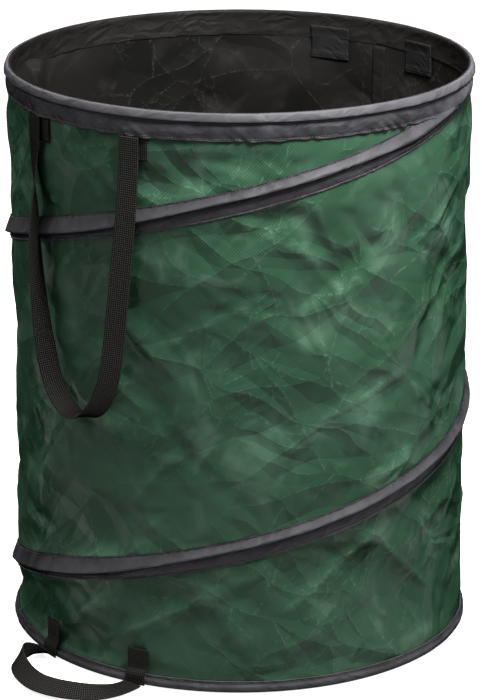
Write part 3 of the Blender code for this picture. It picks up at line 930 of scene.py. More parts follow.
@dataclass
class WallCloth:
    """The wall: one sheet of laminate sewn into a tube, green outside and black inside."""

    sheet: CrumpledSheet

    def build(self) -> list[Thing]:
        """Makes the sheet, its two sides of unlike fineness joined along both edges.

        Returns:
            The wall.
        """
        sheet = self.sheet
        step = sheet.lining_step
        radius = sheet.radius()
        outer = on_ring(radius, sheet.azimuths[:, None], sheet.heights[None, :])
        inset = sheet.lining_radius(radius)
        inner = on_ring(inset, sheet.azimuths[::step, None], sheet.heights[None, ::step])
        thing = self.joined(outer, inner)
        bend = self.bending(radius)
        float_attribute(thing, "crease", np.concatenate([bend.ravel(), bend[::step, ::step].ravel()]))
        stand_for(thing, [f"wall_band_{i}" for i in range(1, 9)], "green_cloth", "base", GREEN_LAMINATE,
                  BLACK_LINING)
        flatten(thing)
        return [thing]

    def bending(self, radius: np.ndarray) -> np.ndarray:
        """How sharply the sheet bends outwards at each point, from 0 to 1."""
        bend = 4 * radius - sum(np.roll(radius, step, axis) for axis in (0, 1) for step in (1, -1))
        bend[:, :2] = bend[:, -2:] = 0
        for axis in (0, 1, 0, 1):
            bend = (np.roll(bend, 1, axis) + 2 * bend + np.roll(bend, -1, axis)) / 4
        return np.clip((bend - 0.12 * MM) / (0.5 * MM), 0, 1)

    def joined(self, outer: np.ndarray, inner: np.ndarray) -> Thing:
        """One closed mesh from the outer and the inner grid.

        Args:
            outer: fine grid of the green side.
            inner: coarse grid of the black side.

        Returns:
            The wall as an object with UV in metres.
        """
        rounds, tall = outer.shape[:2]
        coarse_rounds, coarse_tall = inner.shape[:2]
        step = self.sheet.lining_step
        points = np.vstack([outer.reshape(-1, 3), inner.reshape(-1, 3)])
        base = rounds * tall
        faces = []
        for offset, count, high, turn in ((0, rounds, tall, 1), (base, coarse_rounds, coarse_tall, -1)):
            i = np.arange(count)[:, None] * high + offset
            j = np.roll(i, -1, axis=0)
            k = np.arange(high - 1)[None, :]
            faces += np.stack([i + k, j + k, j + k + 1, i + k + 1], -1).reshape(-1, 4)[:, ::turn].tolist()
        for row, inner_row, flip in ((0, 0, True), (tall - 1, coarse_tall - 1, False)):
            for i in range(coarse_rounds):
                edge = [((i * step + o) % rounds) * tall + row for o in range(step + 1)]
                p = base + i * coarse_tall + inner_row
                q = base + (i + 1) % coarse_rounds * coarse_tall + inner_row
                made = [(edge[0], edge[1], p), (edge[1], q, p)]
                made += [(edge[o], edge[o + 1], q) for o in range(1, step)]
                faces += [face[::-1] for face in made] if flip else made
        mesh = bpy.data.meshes.new("wall_cloth")
        mesh.from_pydata(points.tolist(), [], faces)
        azimuth = (np.arctan2(points[:, 0], -points[:, 1]) + math.pi) % TURN
        flat = np.stack([azimuth * SIZES.wall_radius, points[:, 2]], axis=1)
        values = flat[integers(mesh.loops, "vertex_index")]
        widest = np.maximum.reduceat(values[:, 0], integers(mesh.polygons, "loop_start"))
        widest = np.repeat(widest, integers(mesh.polygons, "loop_total"))
        values[widest - values[:, 0] > self.sheet.around / 2, 0] += self.sheet.around
        set_uv(mesh, values)
        black = np.arange(len(mesh.polygons)) >= rounds * (tall - 1)
        mesh.polygons.foreach_set("material_index", black.astype(np.int32))
        mesh.update()
        mesh.shade_smooth()
        return add_object("wall_cloth", mesh)


def stand_for(thing: Thing, nodes: list[str], slot: str, body: str, *finishes: Finish) -> None:
    """Hides the imported parts that a piece stands for, attaches it to what it rides on, and adds its
    finishes.
    """
    for finish in finishes:
        thing.data.materials.append(finish.material())
    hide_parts(*nodes)
    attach(thing, body)


def folded(radius: np.ndarray, z: np.ndarray, thickness: float) -> tuple[np.ndarray, np.ndarray]:
    """The closed section of a strip folded over an edge: its outer face, then its inner side on fewer points.

    Args:
        radius: the outer face's radius, a row for each station, from one edge round the fold to the other.
        z: its height.
        thickness: the strip's thickness, negative where the outer face starts downwards.

    Returns:
        Radius and height of the closed section.
    """
    across, up = np.gradient(radius, axis=1), np.gradient(z, axis=1)
    length = np.hypot(across, up)
    inner_radius = (radius - up / length * thickness)[:, ::-2]
    inner_z = (z + across / length * thickness)[:, ::-2]
    return np.concatenate([radius, inner_radius], axis=1), np.concatenate([z, inner_z], axis=1)


def flatten(thing: Thing) -> None:
    """Gives a piece of the bag its own copy of its mesh.

    Args:
        thing: the piece.
    """
    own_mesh(thing)


# Stitches


class StitchTree:
    """A Geometry Nodes tree that lays small arched stitches along sewn lines."""

    pitch = 4.0 * MM
    length = 3.0 * MM
    thread = 0.32 * MM
    arch = thread * 1.6
    jitter = 0.06

    def __init__(self) -> None:
        """Builds the tree with its named inputs."""
        self.tree = bpy.data.node_groups.new("stitches along a line", "GeometryNodeTree")
        face = self.tree.interface
        face.new_socket("Geometry", in_out="INPUT", socket_type="NodeSocketGeometry")
        self.ids = {}
        for name, kind in (("Pitch", "Float"), ("Stitch Length", "Float"), ("Thread Radius", "Float"),
                           ("Arch", "Float"), ("Seed", "Int"), ("Material", "Material")):
            made = face.new_socket(name, in_out="INPUT", socket_type="NodeSocket" + kind)
            self.ids[name] = made.identifier
        face.new_socket("Geometry", in_out="OUTPUT", socket_type="NodeSocketGeometry")
        self.lay(Nodes(self.tree))

    def lay(self, nodes: Nodes) -> None:
        """Adds the nodes: a thread bowed out of the cloth, laid at each pitch along the line."""
        given = nodes.add("NodeGroupInput").outputs
        line = nodes.add("GeometryNodeMeshToCurve", {"Mesh": given["Geometry"]})
        spots = nodes.add("GeometryNodeCurveToPoints", {"Curve": line.outputs[0], "Length": given["Pitch"]},
                          mode="LENGTH").outputs
        out = nodes.add("GeometryNodeInputNamedAttribute", {"Name": "out"}, data_type="FLOAT_VECTOR")
        limits = {"Min": (-self.jitter,) * 3, "Max": (self.jitter,) * 3, "Seed": given["Seed"]}
        jitter = nodes.add("FunctionNodeRandomValue", limits, data_type="FLOAT_VECTOR")
        lean = nodes.add("ShaderNodeVectorMath", {0: spots["Tangent"], 1: jitter.outputs[0]}, operation="ADD")
        along = nodes.add("FunctionNodeAlignRotationToVector", {"Vector": lean.outputs[0]}, axis="X")
        faced = nodes.add("FunctionNodeAlignRotationToVector", {
            "Rotation": along.outputs[0], "Vector": out.outputs["Attribute"]}, axis="Z", pivot_axis="X")
        half = nodes.step("MULTIPLY", given["Stitch Length"], 0.5)
        back = nodes.step("MULTIPLY", half, -1.0)
        down = nodes.step("MULTIPLY", given["Thread Radius"], -1.0)
        start, middle, end = [nodes.add("ShaderNodeCombineXYZ", parts).outputs[0] for parts in (
            {0: back, 2: down}, {2: given["Arch"]}, {0: half, 2: down})]
        bow = nodes.add("GeometryNodeCurveQuadraticBezier", {
            "Resolution": 4, "Start": start, "Middle": middle, "End": end})
        ring = nodes.add("GeometryNodeCurvePrimitiveCircle", {
            "Resolution": 5, "Radius": given["Thread Radius"]})
        thread = nodes.add("GeometryNodeCurveToMesh", {
            "Curve": bow.outputs[0], "Profile Curve": ring.outputs[0], "Fill Caps": True})
        placed = nodes.add("GeometryNodeInstanceOnPoints", {
            "Points": spots["Points"], "Instance": thread.outputs[0], "Rotation": faced.outputs[0]})
        real = nodes.add("GeometryNodeRealizeInstances", {"Geometry": placed.outputs[0]})
        dressed = nodes.add("GeometryNodeSetMaterial", {
            "Geometry": real.outputs[0], "Material": given["Material"]})
        nodes.add("NodeGroupOutput", {0: dressed.outputs[0]})

    def sew(self, name: str, lines: list[Line], body: str, seed: int, finish: Finish = THREAD) -> Thing:
        """Sews stitches along lines.

        Args:
            name: the piece's name.
            lines: for each line its points, the way out of the cloth at each, and whether it joins up.
            body: what the stitches ride on.
            seed: fixes their small differences.
            finish: the thread's finish.

        Returns:
            The stitches as one plain mesh.
        """
        edges, first = [], 0
        for points, _, joins in lines:
            count = len(points)
            edges += [(first + i, first + (i + 1) % count) for i in range(count if joins else count - 1)]
            first += count
        mesh = bpy.data.meshes.new(name)
        mesh.from_pydata(np.vstack([points for points, _, _ in lines]).tolist(), edges, [])
        made = mesh.attributes.new("out", "FLOAT_VECTOR", "POINT")
        made.data.foreach_set("vector", np.vstack([out for _, out, _ in lines]).astype(np.float32).ravel())
        seam = add_object(name, mesh)
        modifier = seam.modifiers.new("stitches", "NODES")
        modifier.node_group = self.tree
        values = (self.pitch, self.length, self.thread, self.arch, seed, finish.material())
        for key, value in zip(self.ids.values(), values):
            modifier[key] = value
        plain = bpy.data.meshes.new_from_object(seam.evaluated_get(bpy.context.evaluated_depsgraph_get()))
        seam.modifiers.clear()
        seam.data = plain
        bpy.data.meshes.remove(mesh)
        plain.shade_smooth()
        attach(seam, body)
        return seam


def ring_line(radius: np.ndarray | float, z: float, tilt: float = 0.0, count: int = 360) -> Line:
    """A sewn line round the bag.

    Args:
        radius: its distance from the axis, one or one for each point.
        z: its height.
        tilt: how far the cloth's outside faces up, in radians.
        count: how many points it has.

    Returns:
        Points, ways out and True, because it joins up.
    """
    a = even_turn(count)
    return on_ring(radius, a, z), on_ring(math.cos(tilt), a, math.sin(tilt)), True


def open_line(radius: np.ndarray | float, azimuth: np.ndarray | float, z: np.ndarray,
              facing: float = 1.0) -> Line:
    """A sewn line between two ends.

    Args:
        radius: its distance from the axis, one or one for each point.
        azimuth: its azimuth, one or one for each point.
        z: its height at each point.
        facing: 1 where the stitches show outside the bag, -1 inside.

    Returns:
        Points, ways out and False, because it doesn't join up.
    """
    return on_ring(radius, azimuth, z), on_ring(facing, azimuth + 0 * z, 0.0), False


# Bindings and casing


@dataclass
class Binding:
    """A strip of tape folded over the bag's edge all round, and sewn."""

    stitches: StitchTree
    middle: float = SIZES.wall_radius - 0.5 * MM

    def tape(self, name: str, section: np.ndarray, radius: np.ndarray, z: np.ndarray, fold: np.ndarray,
             thickness: float = 0.45 * MM) -> Thing:
        """Makes the tape.

        Args:
            name: the piece's name.
            section: its outline, for the UV.
            radius: the outer face's radius, a row for each station.
            z: its height.
            fold: how far it turns to the paler colour, along edges and as painted highlight on a lit roll or
                ridge.
            thickness: the tape's thickness, negative where the outer face starts downwards.

        Returns:
            The tape, with that share stored on it.
        """
        a = even_turn(len(radius))
        strip_radius, strip_z = folded(radius, z, thickness)
        way = travelled(section)
        uv = uv_grid(np.append(way, way[::-2]), a * SIZES.wall_radius)
        thing = grid_mesh(name, on_ring(strip_radius, a[:, None], strip_z), True, uv)
        fold = np.clip(fold + 0 * radius, 0, 1)
        float_attribute(thing, "fold", np.concatenate([fold, fold[:, ::-2]], axis=1))
        return thing


@dataclass
class RimBinding(Binding):
    """The tape round the rim: a roll over the hoop, a sewn valley and a flat band below it."""

    stations: int = 600
    around: int = 64
    seam_points: int = 720
    roll_reach: float = SIZES.roll_outside - SIZES.wall_radius + 0.5 * MM

    def section(self) -> np.ndarray:
        """The closed outline of the binding, outside first, as offsets from the wall and heights."""
        top, edge, out = SIZES.height / MM, SIZES.rim_edge / MM, self.roll_reach / MM
        return resampled([
            (1.0, edge + 0.3), (2.2, edge - 0.1), (2.6, edge + 1.0), (2.3, edge + 2.6), (3.1, edge + 4.6),
            (3.9, edge + 9.0), (3.7, edge + 14.0), (2.3, edge + 19.0), (1.5, edge + 20.6), (2.8, edge + 21.6),
            (out * 0.92, edge + 22.7), (out * 0.99, edge + 24.2), (out * 0.91, edge + 27.4),
            (out * 0.78, top - 3.3), (out * 0.64, top - 1.4), (out * 0.42, top - 0.5), (0.9, top - 0.7),
            (0.3, top - 1.5), (-0.3, top - 0.6), (-1.3, top - 0.3), (-2.4, top - 1.4), (-2.9, top - 4.0),
            (-2.4, top - 8.0), (-1.9, top - 12.0), (-1.8, top - 20.0), (-1.9, edge + 2.5), (-1.9, edge + 0.6),
            (-0.9, edge + 0.2)], self.around)

    def swell(self, azimuth: np.ndarray, z: np.ndarray) -> np.ndarray:
        """How far the band stands out over what lies under it, with its puckers."""
        low = smooth((SIZES.height - 11.8 * MM - z) / (3 * MM))
        roll = 1 - low
        mid = (z - SIZES.rim_edge) / (17 * MM)
        lean = azimuth + (z - SIZES.rim_edge) / SIZES.wall_radius * 1.2
        puckers = waves(lean, 41, 50, 150, 26) * 0.62 * MM * (0.5 + 0.5 * waves(azimuth, 42, 3, 14, 8))
        wander = waves(azimuth, 43, 5, 26, 10) * 0.35 * MM
        total = low * (puckers * np.clip(1.2 - mid, 0.15, 1.2) + wander)
        total = total + roll * waves(azimuth, 44, 9, 60, 12) * 0.22 * MM
        for _, seam, _ in STRAP_SEAMS:
            strap = np.exp(-np.abs(wrap(azimuth - seam) * SIZES.wall_radius / (15 * MM)) ** 4)
            total = total + low * strap * (3.0 * MM * np.clip(1.15 - mid, 0, 1.0))
        return total + self.over_spring(wrap(azimuth), z, low) + self.bunch(azimuth)

    def over_spring(self, azimuth: np.ndarray, z: np.ndarray, low: np.ndarray) -> np.ndarray:
        """How far the band and the roll stand out where the spring's upper end runs in under them."""
        spring = z - SIZES.spring_height(azimuth)
        starts = smooth((azimuth - math.radians(70)) / math.radians(20))
        ends = smooth((math.radians(128) - azimuth) / math.radians(16))
        band = low * starts * ends * 4.6 * MM * np.exp(-(spring / (9 * MM)) ** 2)
        return band + (1 - low) * 1.2 * MM * np.exp(-((azimuth - math.radians(90)) / math.radians(8.5)) ** 4)

    def bunch(self, azimuth: np.ndarray) -> np.ndarray:
        """The bunched tape where the spring's casing ends."""
        near = np.exp(-((wrap(azimuth) - math.radians(118)) / math.radians(9)) ** 2)
        return near * waves(azimuth, 45, 90, 150, 14) * 0.75 * MM

    def build(self) -> list[Thing]:
        """Makes the tape, its three rows of stitches outside and the one inside.

        Returns:
            The tape and the stitches.
        """
        a = even_turn(self.stations)[:, None]
        section = self.section()
        offset, z = section.T[:, None, :]
        outside = smooth((offset + 0.4 * MM) / (1.6 * MM))
        radius = self.middle + offset + self.swell(a + 0 * z, z + 0 * a) * outside
        hem = waves(a, 46, 12, 70, 14) * 0.45 * MM * smooth((SIZES.rim_edge + 5 * MM - z) / (5 * MM))
        # Painted highlight on the roll's outer upper face; paler along the lower edge and near 117 degrees,
        # where the tape bunches.
        fold = smooth((z - (SIZES.height - 11.4 * MM)) / (2.0 * MM)) * 0.55 * (offset > 1 * MM)
        fold = fold + 0.8 * np.exp(-((z - SIZES.rim_edge - 0.4 * MM) / (0.9 * MM)) ** 2)
        fold = fold + 0.4 * np.exp(-((a - math.radians(117)) / math.radians(16)) ** 2)
        thing = self.tape("rim_binding_tape", section, radius, z + hem, fold)
        stand_for(thing, ["rim_binding"], "grey_tape", "rim", BINDING, INNER_LEG_PAINTED_SHADE)
        # The inner leg's faces take the darker copy of the tape: painted shade.
        inner = np.append(np.roll(offset[0], -1) < -1.2 * MM, np.zeros(self.around // 2, bool))
        thing.data.polygons.foreach_set("material_index", np.tile(inner, self.stations).astype(np.int32))
        count = self.seam_points
        lines = []
        for lift, reach in ((3.0 * MM, 2.55 * MM), (20.4 * MM, 1.35 * MM)):
            level = SIZES.rim_edge + lift
            radius = self.middle + reach + self.swell(even_turn(count), np.full(count, level))
            lines.append(ring_line(radius, level, count=count))
        lines.append(ring_line(self.middle + 0.4 * MM, SIZES.height - 1.15 * MM, math.radians(80)))
        inside = (on_ring(self.middle - 2.0 * MM, even_turn(count), SIZES.rim_edge + 4 * MM),
                  on_ring(-1.0, even_turn(count), 0.0), True)
        return [thing, self.stitches.sew("rim_binding_stitches", lines, "rim", 2),
                self.stitches.sew("rim_binding_inner_stitches", [inside], "rim", 12, BLACK_THREAD)]


@dataclass
class BaseBinding(Binding):
    """The tape round the foot: a narrow roll over the base hoop, with a short sewn leg."""

    stations: int = 480
    around: int = 40
    roll_reach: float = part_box("base_binding")[1].x - SIZES.wall_radius + 0.5 * MM

    def build(self) -> list[Thing]:
        """Makes the tape and its row of stitches."""
        edge, out = SIZES.foot_edge / MM, self.roll_reach / MM
        section = resampled([
            (0.9, edge), (1.7, edge + 0.2), (2.1, edge - 0.9), (1.7, edge - 2.3), (1.9, edge - 3.4),
            (3.0, edge - 4.1), (out * 0.88, edge - 5.6), (out * 0.98, 5.0), (out * 0.90, 2.6),
            (out * 0.62, 0.8), (1.4, 0.15), (-0.6, 0.2), (-2.0, 1.6), (-2.5, 4.2), (-2.1, 8.0),
            (-1.8, edge - 2.0), (-1.7, edge - 0.1), (-0.8, edge)], self.around)
        a = even_turn(self.stations)[:, None]
        offset, z = section.T[:, None, :]
        outside = smooth((offset - 0.4 * MM) / (1.4 * MM)) * smooth((z - 0.6 * MM) / (3 * MM))
        lean = a + z / SIZES.wall_radius * 1.5
        ruck = waves(lean, 51, 60, 170, 22) * 0.22 * MM + waves(a, 52, 8, 40, 10) * 0.25 * MM
        radius = self.middle + offset + ruck * outside
        # Painted highlight on the roll's upper face; paler along the upper edge.
        fold = 0.35 * np.exp(-((z - 7.6 * MM) / (1.6 * MM)) ** 2)
        fold = fold + 0.7 * np.exp(-((z - SIZES.foot_edge) / (0.8 * MM)) ** 2)
        thing = self.tape("base_binding_tape", section, radius, z + 0 * radius, fold, -0.45 * MM)
        stand_for(thing, ["base_binding"], "grey_tape", "base", BINDING)
        line = ring_line(self.middle + 1.95 * MM, SIZES.foot_edge - 2.4 * MM)
        return [thing, self.stitches.sew("base_binding_stitches", [line], "base", 3)]


@dataclass
class SpiralCasing:
    """The tape that cases the spiral spring, sewn to the wall along both of its edges."""

    stitches: StitchTree
    half: float = 15.0 * MM
    seat: float = SIZES.wall_radius + 0.15 * MM
    ridge: float = SIZES.crest - SIZES.wall_radius
    step: float = 3.4 * MM
    points_across: int = 56
    overrun: float = math.radians(17.5)
    wire_radius: float = 2 * MM
    wire_sides: int = 10

    def from_ends(self, azimuth: np.ndarray) -> np.ndarray:
        """0 at the spring's capped ends, rising to 1 away from them."""
        reach = math.radians(24)
        return smooth((azimuth - SIZES.foot_azimuth - reach / 4) / reach) * smooth(
            (SIZES.top_azimuth - reach / 4 - azimuth) / reach)

    def ridge_place(self, azimuth: np.ndarray) -> np.ndarray:
        """Where the ridge lies in the tape: low left of the front, high to the right, midway at the ends."""
        wrapped = wrap(azimuth)
        low = smooth((math.radians(38) - wrapped) / math.radians(44)) * smooth(
            (wrapped + math.radians(120)) / math.radians(50))
        return (3.6 * MM - low * 9.0 * MM) * self.from_ends(azimuth)

    def profile(self, azimuth: np.ndarray) -> tuple[np.ndarray, np.ndarray]:
        """The tape's outside at each station: heights in the tape and how far it stands out.

        The face above the ridge slopes up to it evenly, and below it a sharp valley parts it from the flange.

        Args:
            azimuth: unwrapped azimuths of the stations.

        Returns:
            Heights from the spring's middle and distances from the wall, one row for each station.
        """
        place = self.ridge_place(azimuth)[:, None]
        low, high = -self.half, self.half
        flange = low + 3.4 * MM
        wide = 1 + 1.7 * (1 - self.from_ends(azimuth)[:, None])
        flange_end = place - 3.8 * MM * (0.35 + 0.65 * wide)
        rows = [(low + height * MM + 0 * place, stand)
                for height, stand in ((0, 0.15), (0.2, 0.75), (1.0, 1.0), (2.1, 0.5))]
        rows += [(flange + (flange_end - flange) * share, stand)
                 for share, stand in ((0.0, 1.1), (0.35, 1.9), (0.7, 1.9), (1.0, 1.2))]
        rows += [(place + offset * MM * (wide if offset < 0 else 1), stand * self.ridge / (7.1 * MM))
                 for offset, stand in ((-2.9, 0.75), (-2.4, 1.5), (-1.6, 4.2), (-0.8, 6.0), (0.2, 6.9),
                                       (1.4, 7.0), (2.6, 6.6))]
        rows += [(high - height * MM + 0 * place, stand)
                 for height, stand in ((3.4, 1.7), (2.1, 0.5), (0.9, 1.0), (0.2, 0.75), (0, 0.15))]
        heights = np.concatenate([height for height, _ in rows], axis=1)
        return heights, np.array([stand for _, stand in rows])[None, :] * MM + 0 * heights

    def build(self) -> list[Thing]:
        """Makes the casing, the spring in it and the two rows of stitches."""
        first, last = SIZES.foot_azimuth, SIZES.top_azimuth + self.overrun
        a = np.linspace(first, last, int((last - first) * SIZES.wall_radius / self.step))
        profile = self.profile(a)
        index = np.arange(profile[0].shape[1])
        way = np.linspace(0, index[-1], self.points_across)
        heights, out = [np.stack([np.interp(way, index, row) for row in rows]) for rows in profile]
        lean = a[:, None] + heights / SIZES.wall_radius * 1.4
        flange = np.clip(1 - out / (3 * MM), 0, 1)
        ruck = waves(lean, 61, 70, 210, 26) * 0.38 * MM * (0.4 + 0.6 * flange)
        ruck = ruck + waves(a[:, None] + 0 * out, 62, 8, 44, 12) * 0.45 * MM * np.clip(out / (7 * MM), 0, 1)
        fade = smooth((last - a) / (self.overrun * 0.85))[:, None]
        out = np.minimum(np.maximum(out + ruck, 0.25 * MM), 1.0 * MM + 8 * MM * fade)
        middle = SIZES.spring_height(a)[:, None]
        z = np.clip(middle + heights, SIZES.foot_edge + 0.3 * MM, SIZES.rim_edge + 12 * MM)
        low, high = z[:, 0], z[:, -1]
        outside = on_ring(self.seat + out, a[:, None], z)
        under = on_ring(self.seat - 0.05 * MM, a[:, None], np.stack([high, (low + high) / 2, low], axis=1))
        points = np.concatenate([outside, under], axis=1)
        uv = uv_grid(np.arange(points.shape[1]) * 1.0 * MM, a * SIZES.wall_radius)
        thing = grid_mesh("spiral_casing_tape", points, False, uv)
        # Painted highlight where the ridge stands out, and paler along the lower hem.
        lit = 0.3 * np.clip(out / (6 * MM), 0, 1) + 0.75 * np.exp(-((heights + self.half) / (1.0 * MM)) ** 2)
        dark = np.exp(-((heights - self.half) / (1.1 * MM)) ** 2)
        float_attribute(thing, "fold", np.pad(np.clip(lit - dark, 0, 1), ((0, 0), (0, under.shape[1]))))
        stand_for(thing, ["spiral_casing"], "grey_tape", "base", BINDING)
        flatten(thing)
        return [thing, self.spring(), self.seams(a)]

    def spring(self) -> Thing:
        """The spring wire, round and unbroken, inside the casing."""
        a = np.arange(SIZES.foot_azimuth + 0.008, SIZES.top_azimuth - 0.006, 0.02)
        turn = even_turn(self.wire_sides)[None, :]
        radius = (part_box("spiral_spring")[1].x - self.wire_radius) + self.wire_radius * np.cos(turn)
        level = SIZES.spring_height(a) + self.ridge_place(a) + 1.6 * MM * self.from_ends(a)
        points = on_ring(radius, a[:, None], level[:, None] + self.wire_radius * np.sin(turn))
        wire = grid_mesh("spiral_spring_wire", points, False)
        stand_for(wire, ["spiral_spring"], "spring_steel", "base", STEEL)
        flatten(wire)
        return wire

    def seams(self, a: np.ndarray) -> Thing:
        """The stitches along both edges of the tape."""
        lines = []
        for share in (-0.86, 0.87):
            level = SIZES.spring_height(a) + share * self.half
            good = (level > SIZES.foot_edge + 1.5 * MM) & (level < SIZES.rim_edge - 1 * MM)
            lines.append(open_line(self.seat + 0.75 * MM, a[good], level[good]))
        sewn = self.stitches.sew("spiral_casing_stitches", lines, "base", 4)
        flatten(sewn)
        return sewn


@dataclass
class Lining:
    """What lies inside the bag: the round bottom, the tape on the wall's seam and four patches."""

    stitches: StitchTree
    sheet: CrumpledSheet
    panel_rings: int = 60
    panel_sectors: int = 144

    def bottom(self) -> list[Thing]:
        """The round bottom panel, green below and black above, with a few soft creases.

        Its edge is sewn in under the foot's tape, so no light shows between them.
        """
        low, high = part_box("base_panel")
        reach = min(high.x, high.y) + 1.2 * MM
        share = np.linspace(0.02, 1, self.panel_rings)[:, None]
        angle = even_turn(self.panel_sectors)[None, :] + 0 * share
        r = share * reach + 0 * angle
        rise = 0.9 * MM + waves(angle, 81, 2, 9, 10) * 0.5 * MM * share * smooth((1 - share) / 0.12)
        ripple = waves(angle, 82, 3, 9, 10) * waves(r * 14, 83, 1, 4, 8)
        rise = rise + ripple * 0.3 * MM * smooth((1 - share) / 0.2) * smooth(share / 0.3)
        rise = np.clip(rise, 0.5 * MM, 2.2 * MM) - 0.4 * MM * smooth((share - 0.9) / 0.1)
        top = on_ring(r, angle, high.z - 0.9 * MM + rise)
        floor = on_ring(r, angle, low.z)
        points = np.concatenate([floor, top[::-1]], axis=0)
        sheet = grid_mesh("base_panel_cloth", points, False)
        set_uv(sheet.data, points.reshape(-1, 3)[integers(sheet.data.loops, "vertex_index")][:, :2])
        float_attribute(sheet, "crease")
        stand_for(sheet, ["base_panel"], "green_cloth", "base", BLACK_LINING, GREEN_LAMINATE)
        for face in sheet.data.polygons:
            face.material_index = 1 if face.normal.z < -0.5 else 0
        return [sheet]

    def seam(self) -> list[Thing]:
        """The tape over the wall's upright seam, which follows the drawn-in wall."""
        sheet = self.sheet
        lining = sheet.lining_radius(sheet.radius())
        middle = lining.shape[0] // 2
        inside = lining[middle - 2:middle + 3].min(axis=0)
        tall = np.linspace(SIZES.foot_edge + 0.5 * MM, SIZES.rim_edge - 0.5 * MM, 160)
        radius = np.interp(tall, sheet.heights[::sheet.lining_step], inside)
        kernel = np.ones(7) / 7
        radius = np.minimum(np.convolve(np.pad(radius, 3, mode="edge"), kernel, "valid"), radius)
        half = 10 * MM / SIZES.wall_radius
        across = np.array([-1, -0.92, -0.5, 0, 0.5, 0.92, 1]) * half
        lift = np.array([0.3, 0.7, 0.8, 0.8, 0.8, 0.7, 0.3]) * MM
        face = on_ring(radius[:, None] - lift, math.pi + across, tall[:, None])
        back = on_ring(radius[:, None] + 0.1 * MM, math.pi + across[::-1], tall[:, None])
        points = np.concatenate([face, back], axis=1)
        way = np.arange(points.shape[1]) * 2 * MM
        tape = grid_mesh("wall_seam_tape_cloth", points, False, uv_grid(way, tall))
        float_attribute(tape, "fold")
        stand_for(tape, ["wall_seam_tape"], "grey_tape", "base", SEAM_CLOTH)
        flatten(tape)
        lines = []
        for side in (-0.7, 0.7):
            spots = on_ring(radius - 0.85 * MM, math.pi + side * half, tall)
            lines.append((spots, on_ring(-1.0, np.full(len(tall), math.pi), 0.0), False))
        sewn = self.stitches.sew("wall_seam_stitches", lines, "base", 5, BLACK_THREAD)
        flatten(sewn)
        return [tape, sewn]

    def patches(self) -> list[Thing]:
        """The four cloth patches behind the carry handles' seams, their upper edge sagging open."""
        made = []
        for name, azimuth, _ in STRAP_SEAMS:
            made += self.patch(f"{name}_inside_patch", azimuth, seed=len(made) + 90)
        return made

    def patch(self, name: str, azimuth: float, seed: int) -> list[Thing]:
        """One patch, folded over along its hem, with a box of stitches.

        Args:
            name: the CAD node that it stands for.
            azimuth: where its middle is.
            seed: fixes its small waves.

        Returns:
            The patch and its stitches.
        """
        low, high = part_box(name)
        half, tall = 26 * MM, high.z - low.z
        u = np.linspace(-1, 1, 25)[:, None]
        v = np.linspace(0, 1, 23)[None, :]
        skew = np.random.default_rng(seed).uniform(-1.2, 1.2) * MM
        z = low.z + v * tall + u * skew
        across = azimuth + u * half * (1 + 0.02 * np.sin(v * 7 + seed)) / SIZES.wall_radius
        sag = 2.4 * MM * smooth((v - 0.72) / 0.28) * (1 - 0.5 * u ** 2)
        bulge = 0.8 * MM * np.cos(u * 1.4) * np.sin(v * math.pi) + 0.3 * MM * np.sin(u * 5 + seed) * v
        hem = 0.5 * MM * smooth((0.24 - v) / 0.04)
        wall = SIZES.wall_radius - 3.0 * MM
        front = on_ring(wall - 0.9 * MM - sag - bulge - hem, across, z)
        rear = on_ring(wall - 0.2 * MM - sag * 0.9, across, z)
        points = np.concatenate([front, rear[:, ::-1]], axis=1)
        way = np.append(v[0] * tall, v[0] * tall + tall)
        thing = grid_mesh(name + "_cloth", points, False, uv_grid(way, u[:, 0] * half))
        fold = np.exp(-((v - 0.24) / 0.03) ** 2) * 0.6 + 0.5 * np.exp(-((v - 0.97) / 0.04) ** 2) + 0 * u
        float_attribute(thing, "fold", np.concatenate([fold, 0 * fold], axis=1))
        stand_for(thing, [name], "grey_tape", "rim", PATCH_CLOTH)
        flatten(thing)
        corners = [(0.12, 0.9), (0.12, -0.9), (0.66, -0.9), (0.66, 0.9), (0.12, 0.9)]
        row, column = Spline(corners, cornered=True).spread(90)
        places = azimuth + column * half / SIZES.wall_radius
        line = open_line(wall - 1.75 * MM, places, low.z + row * tall, -1.0)
        sewn = self.stitches.sew(name + "_stitches", [line], "rim", seed, BLACK_THREAD)
        flatten(sewn)
        return [thing, sewn]


# Webbing


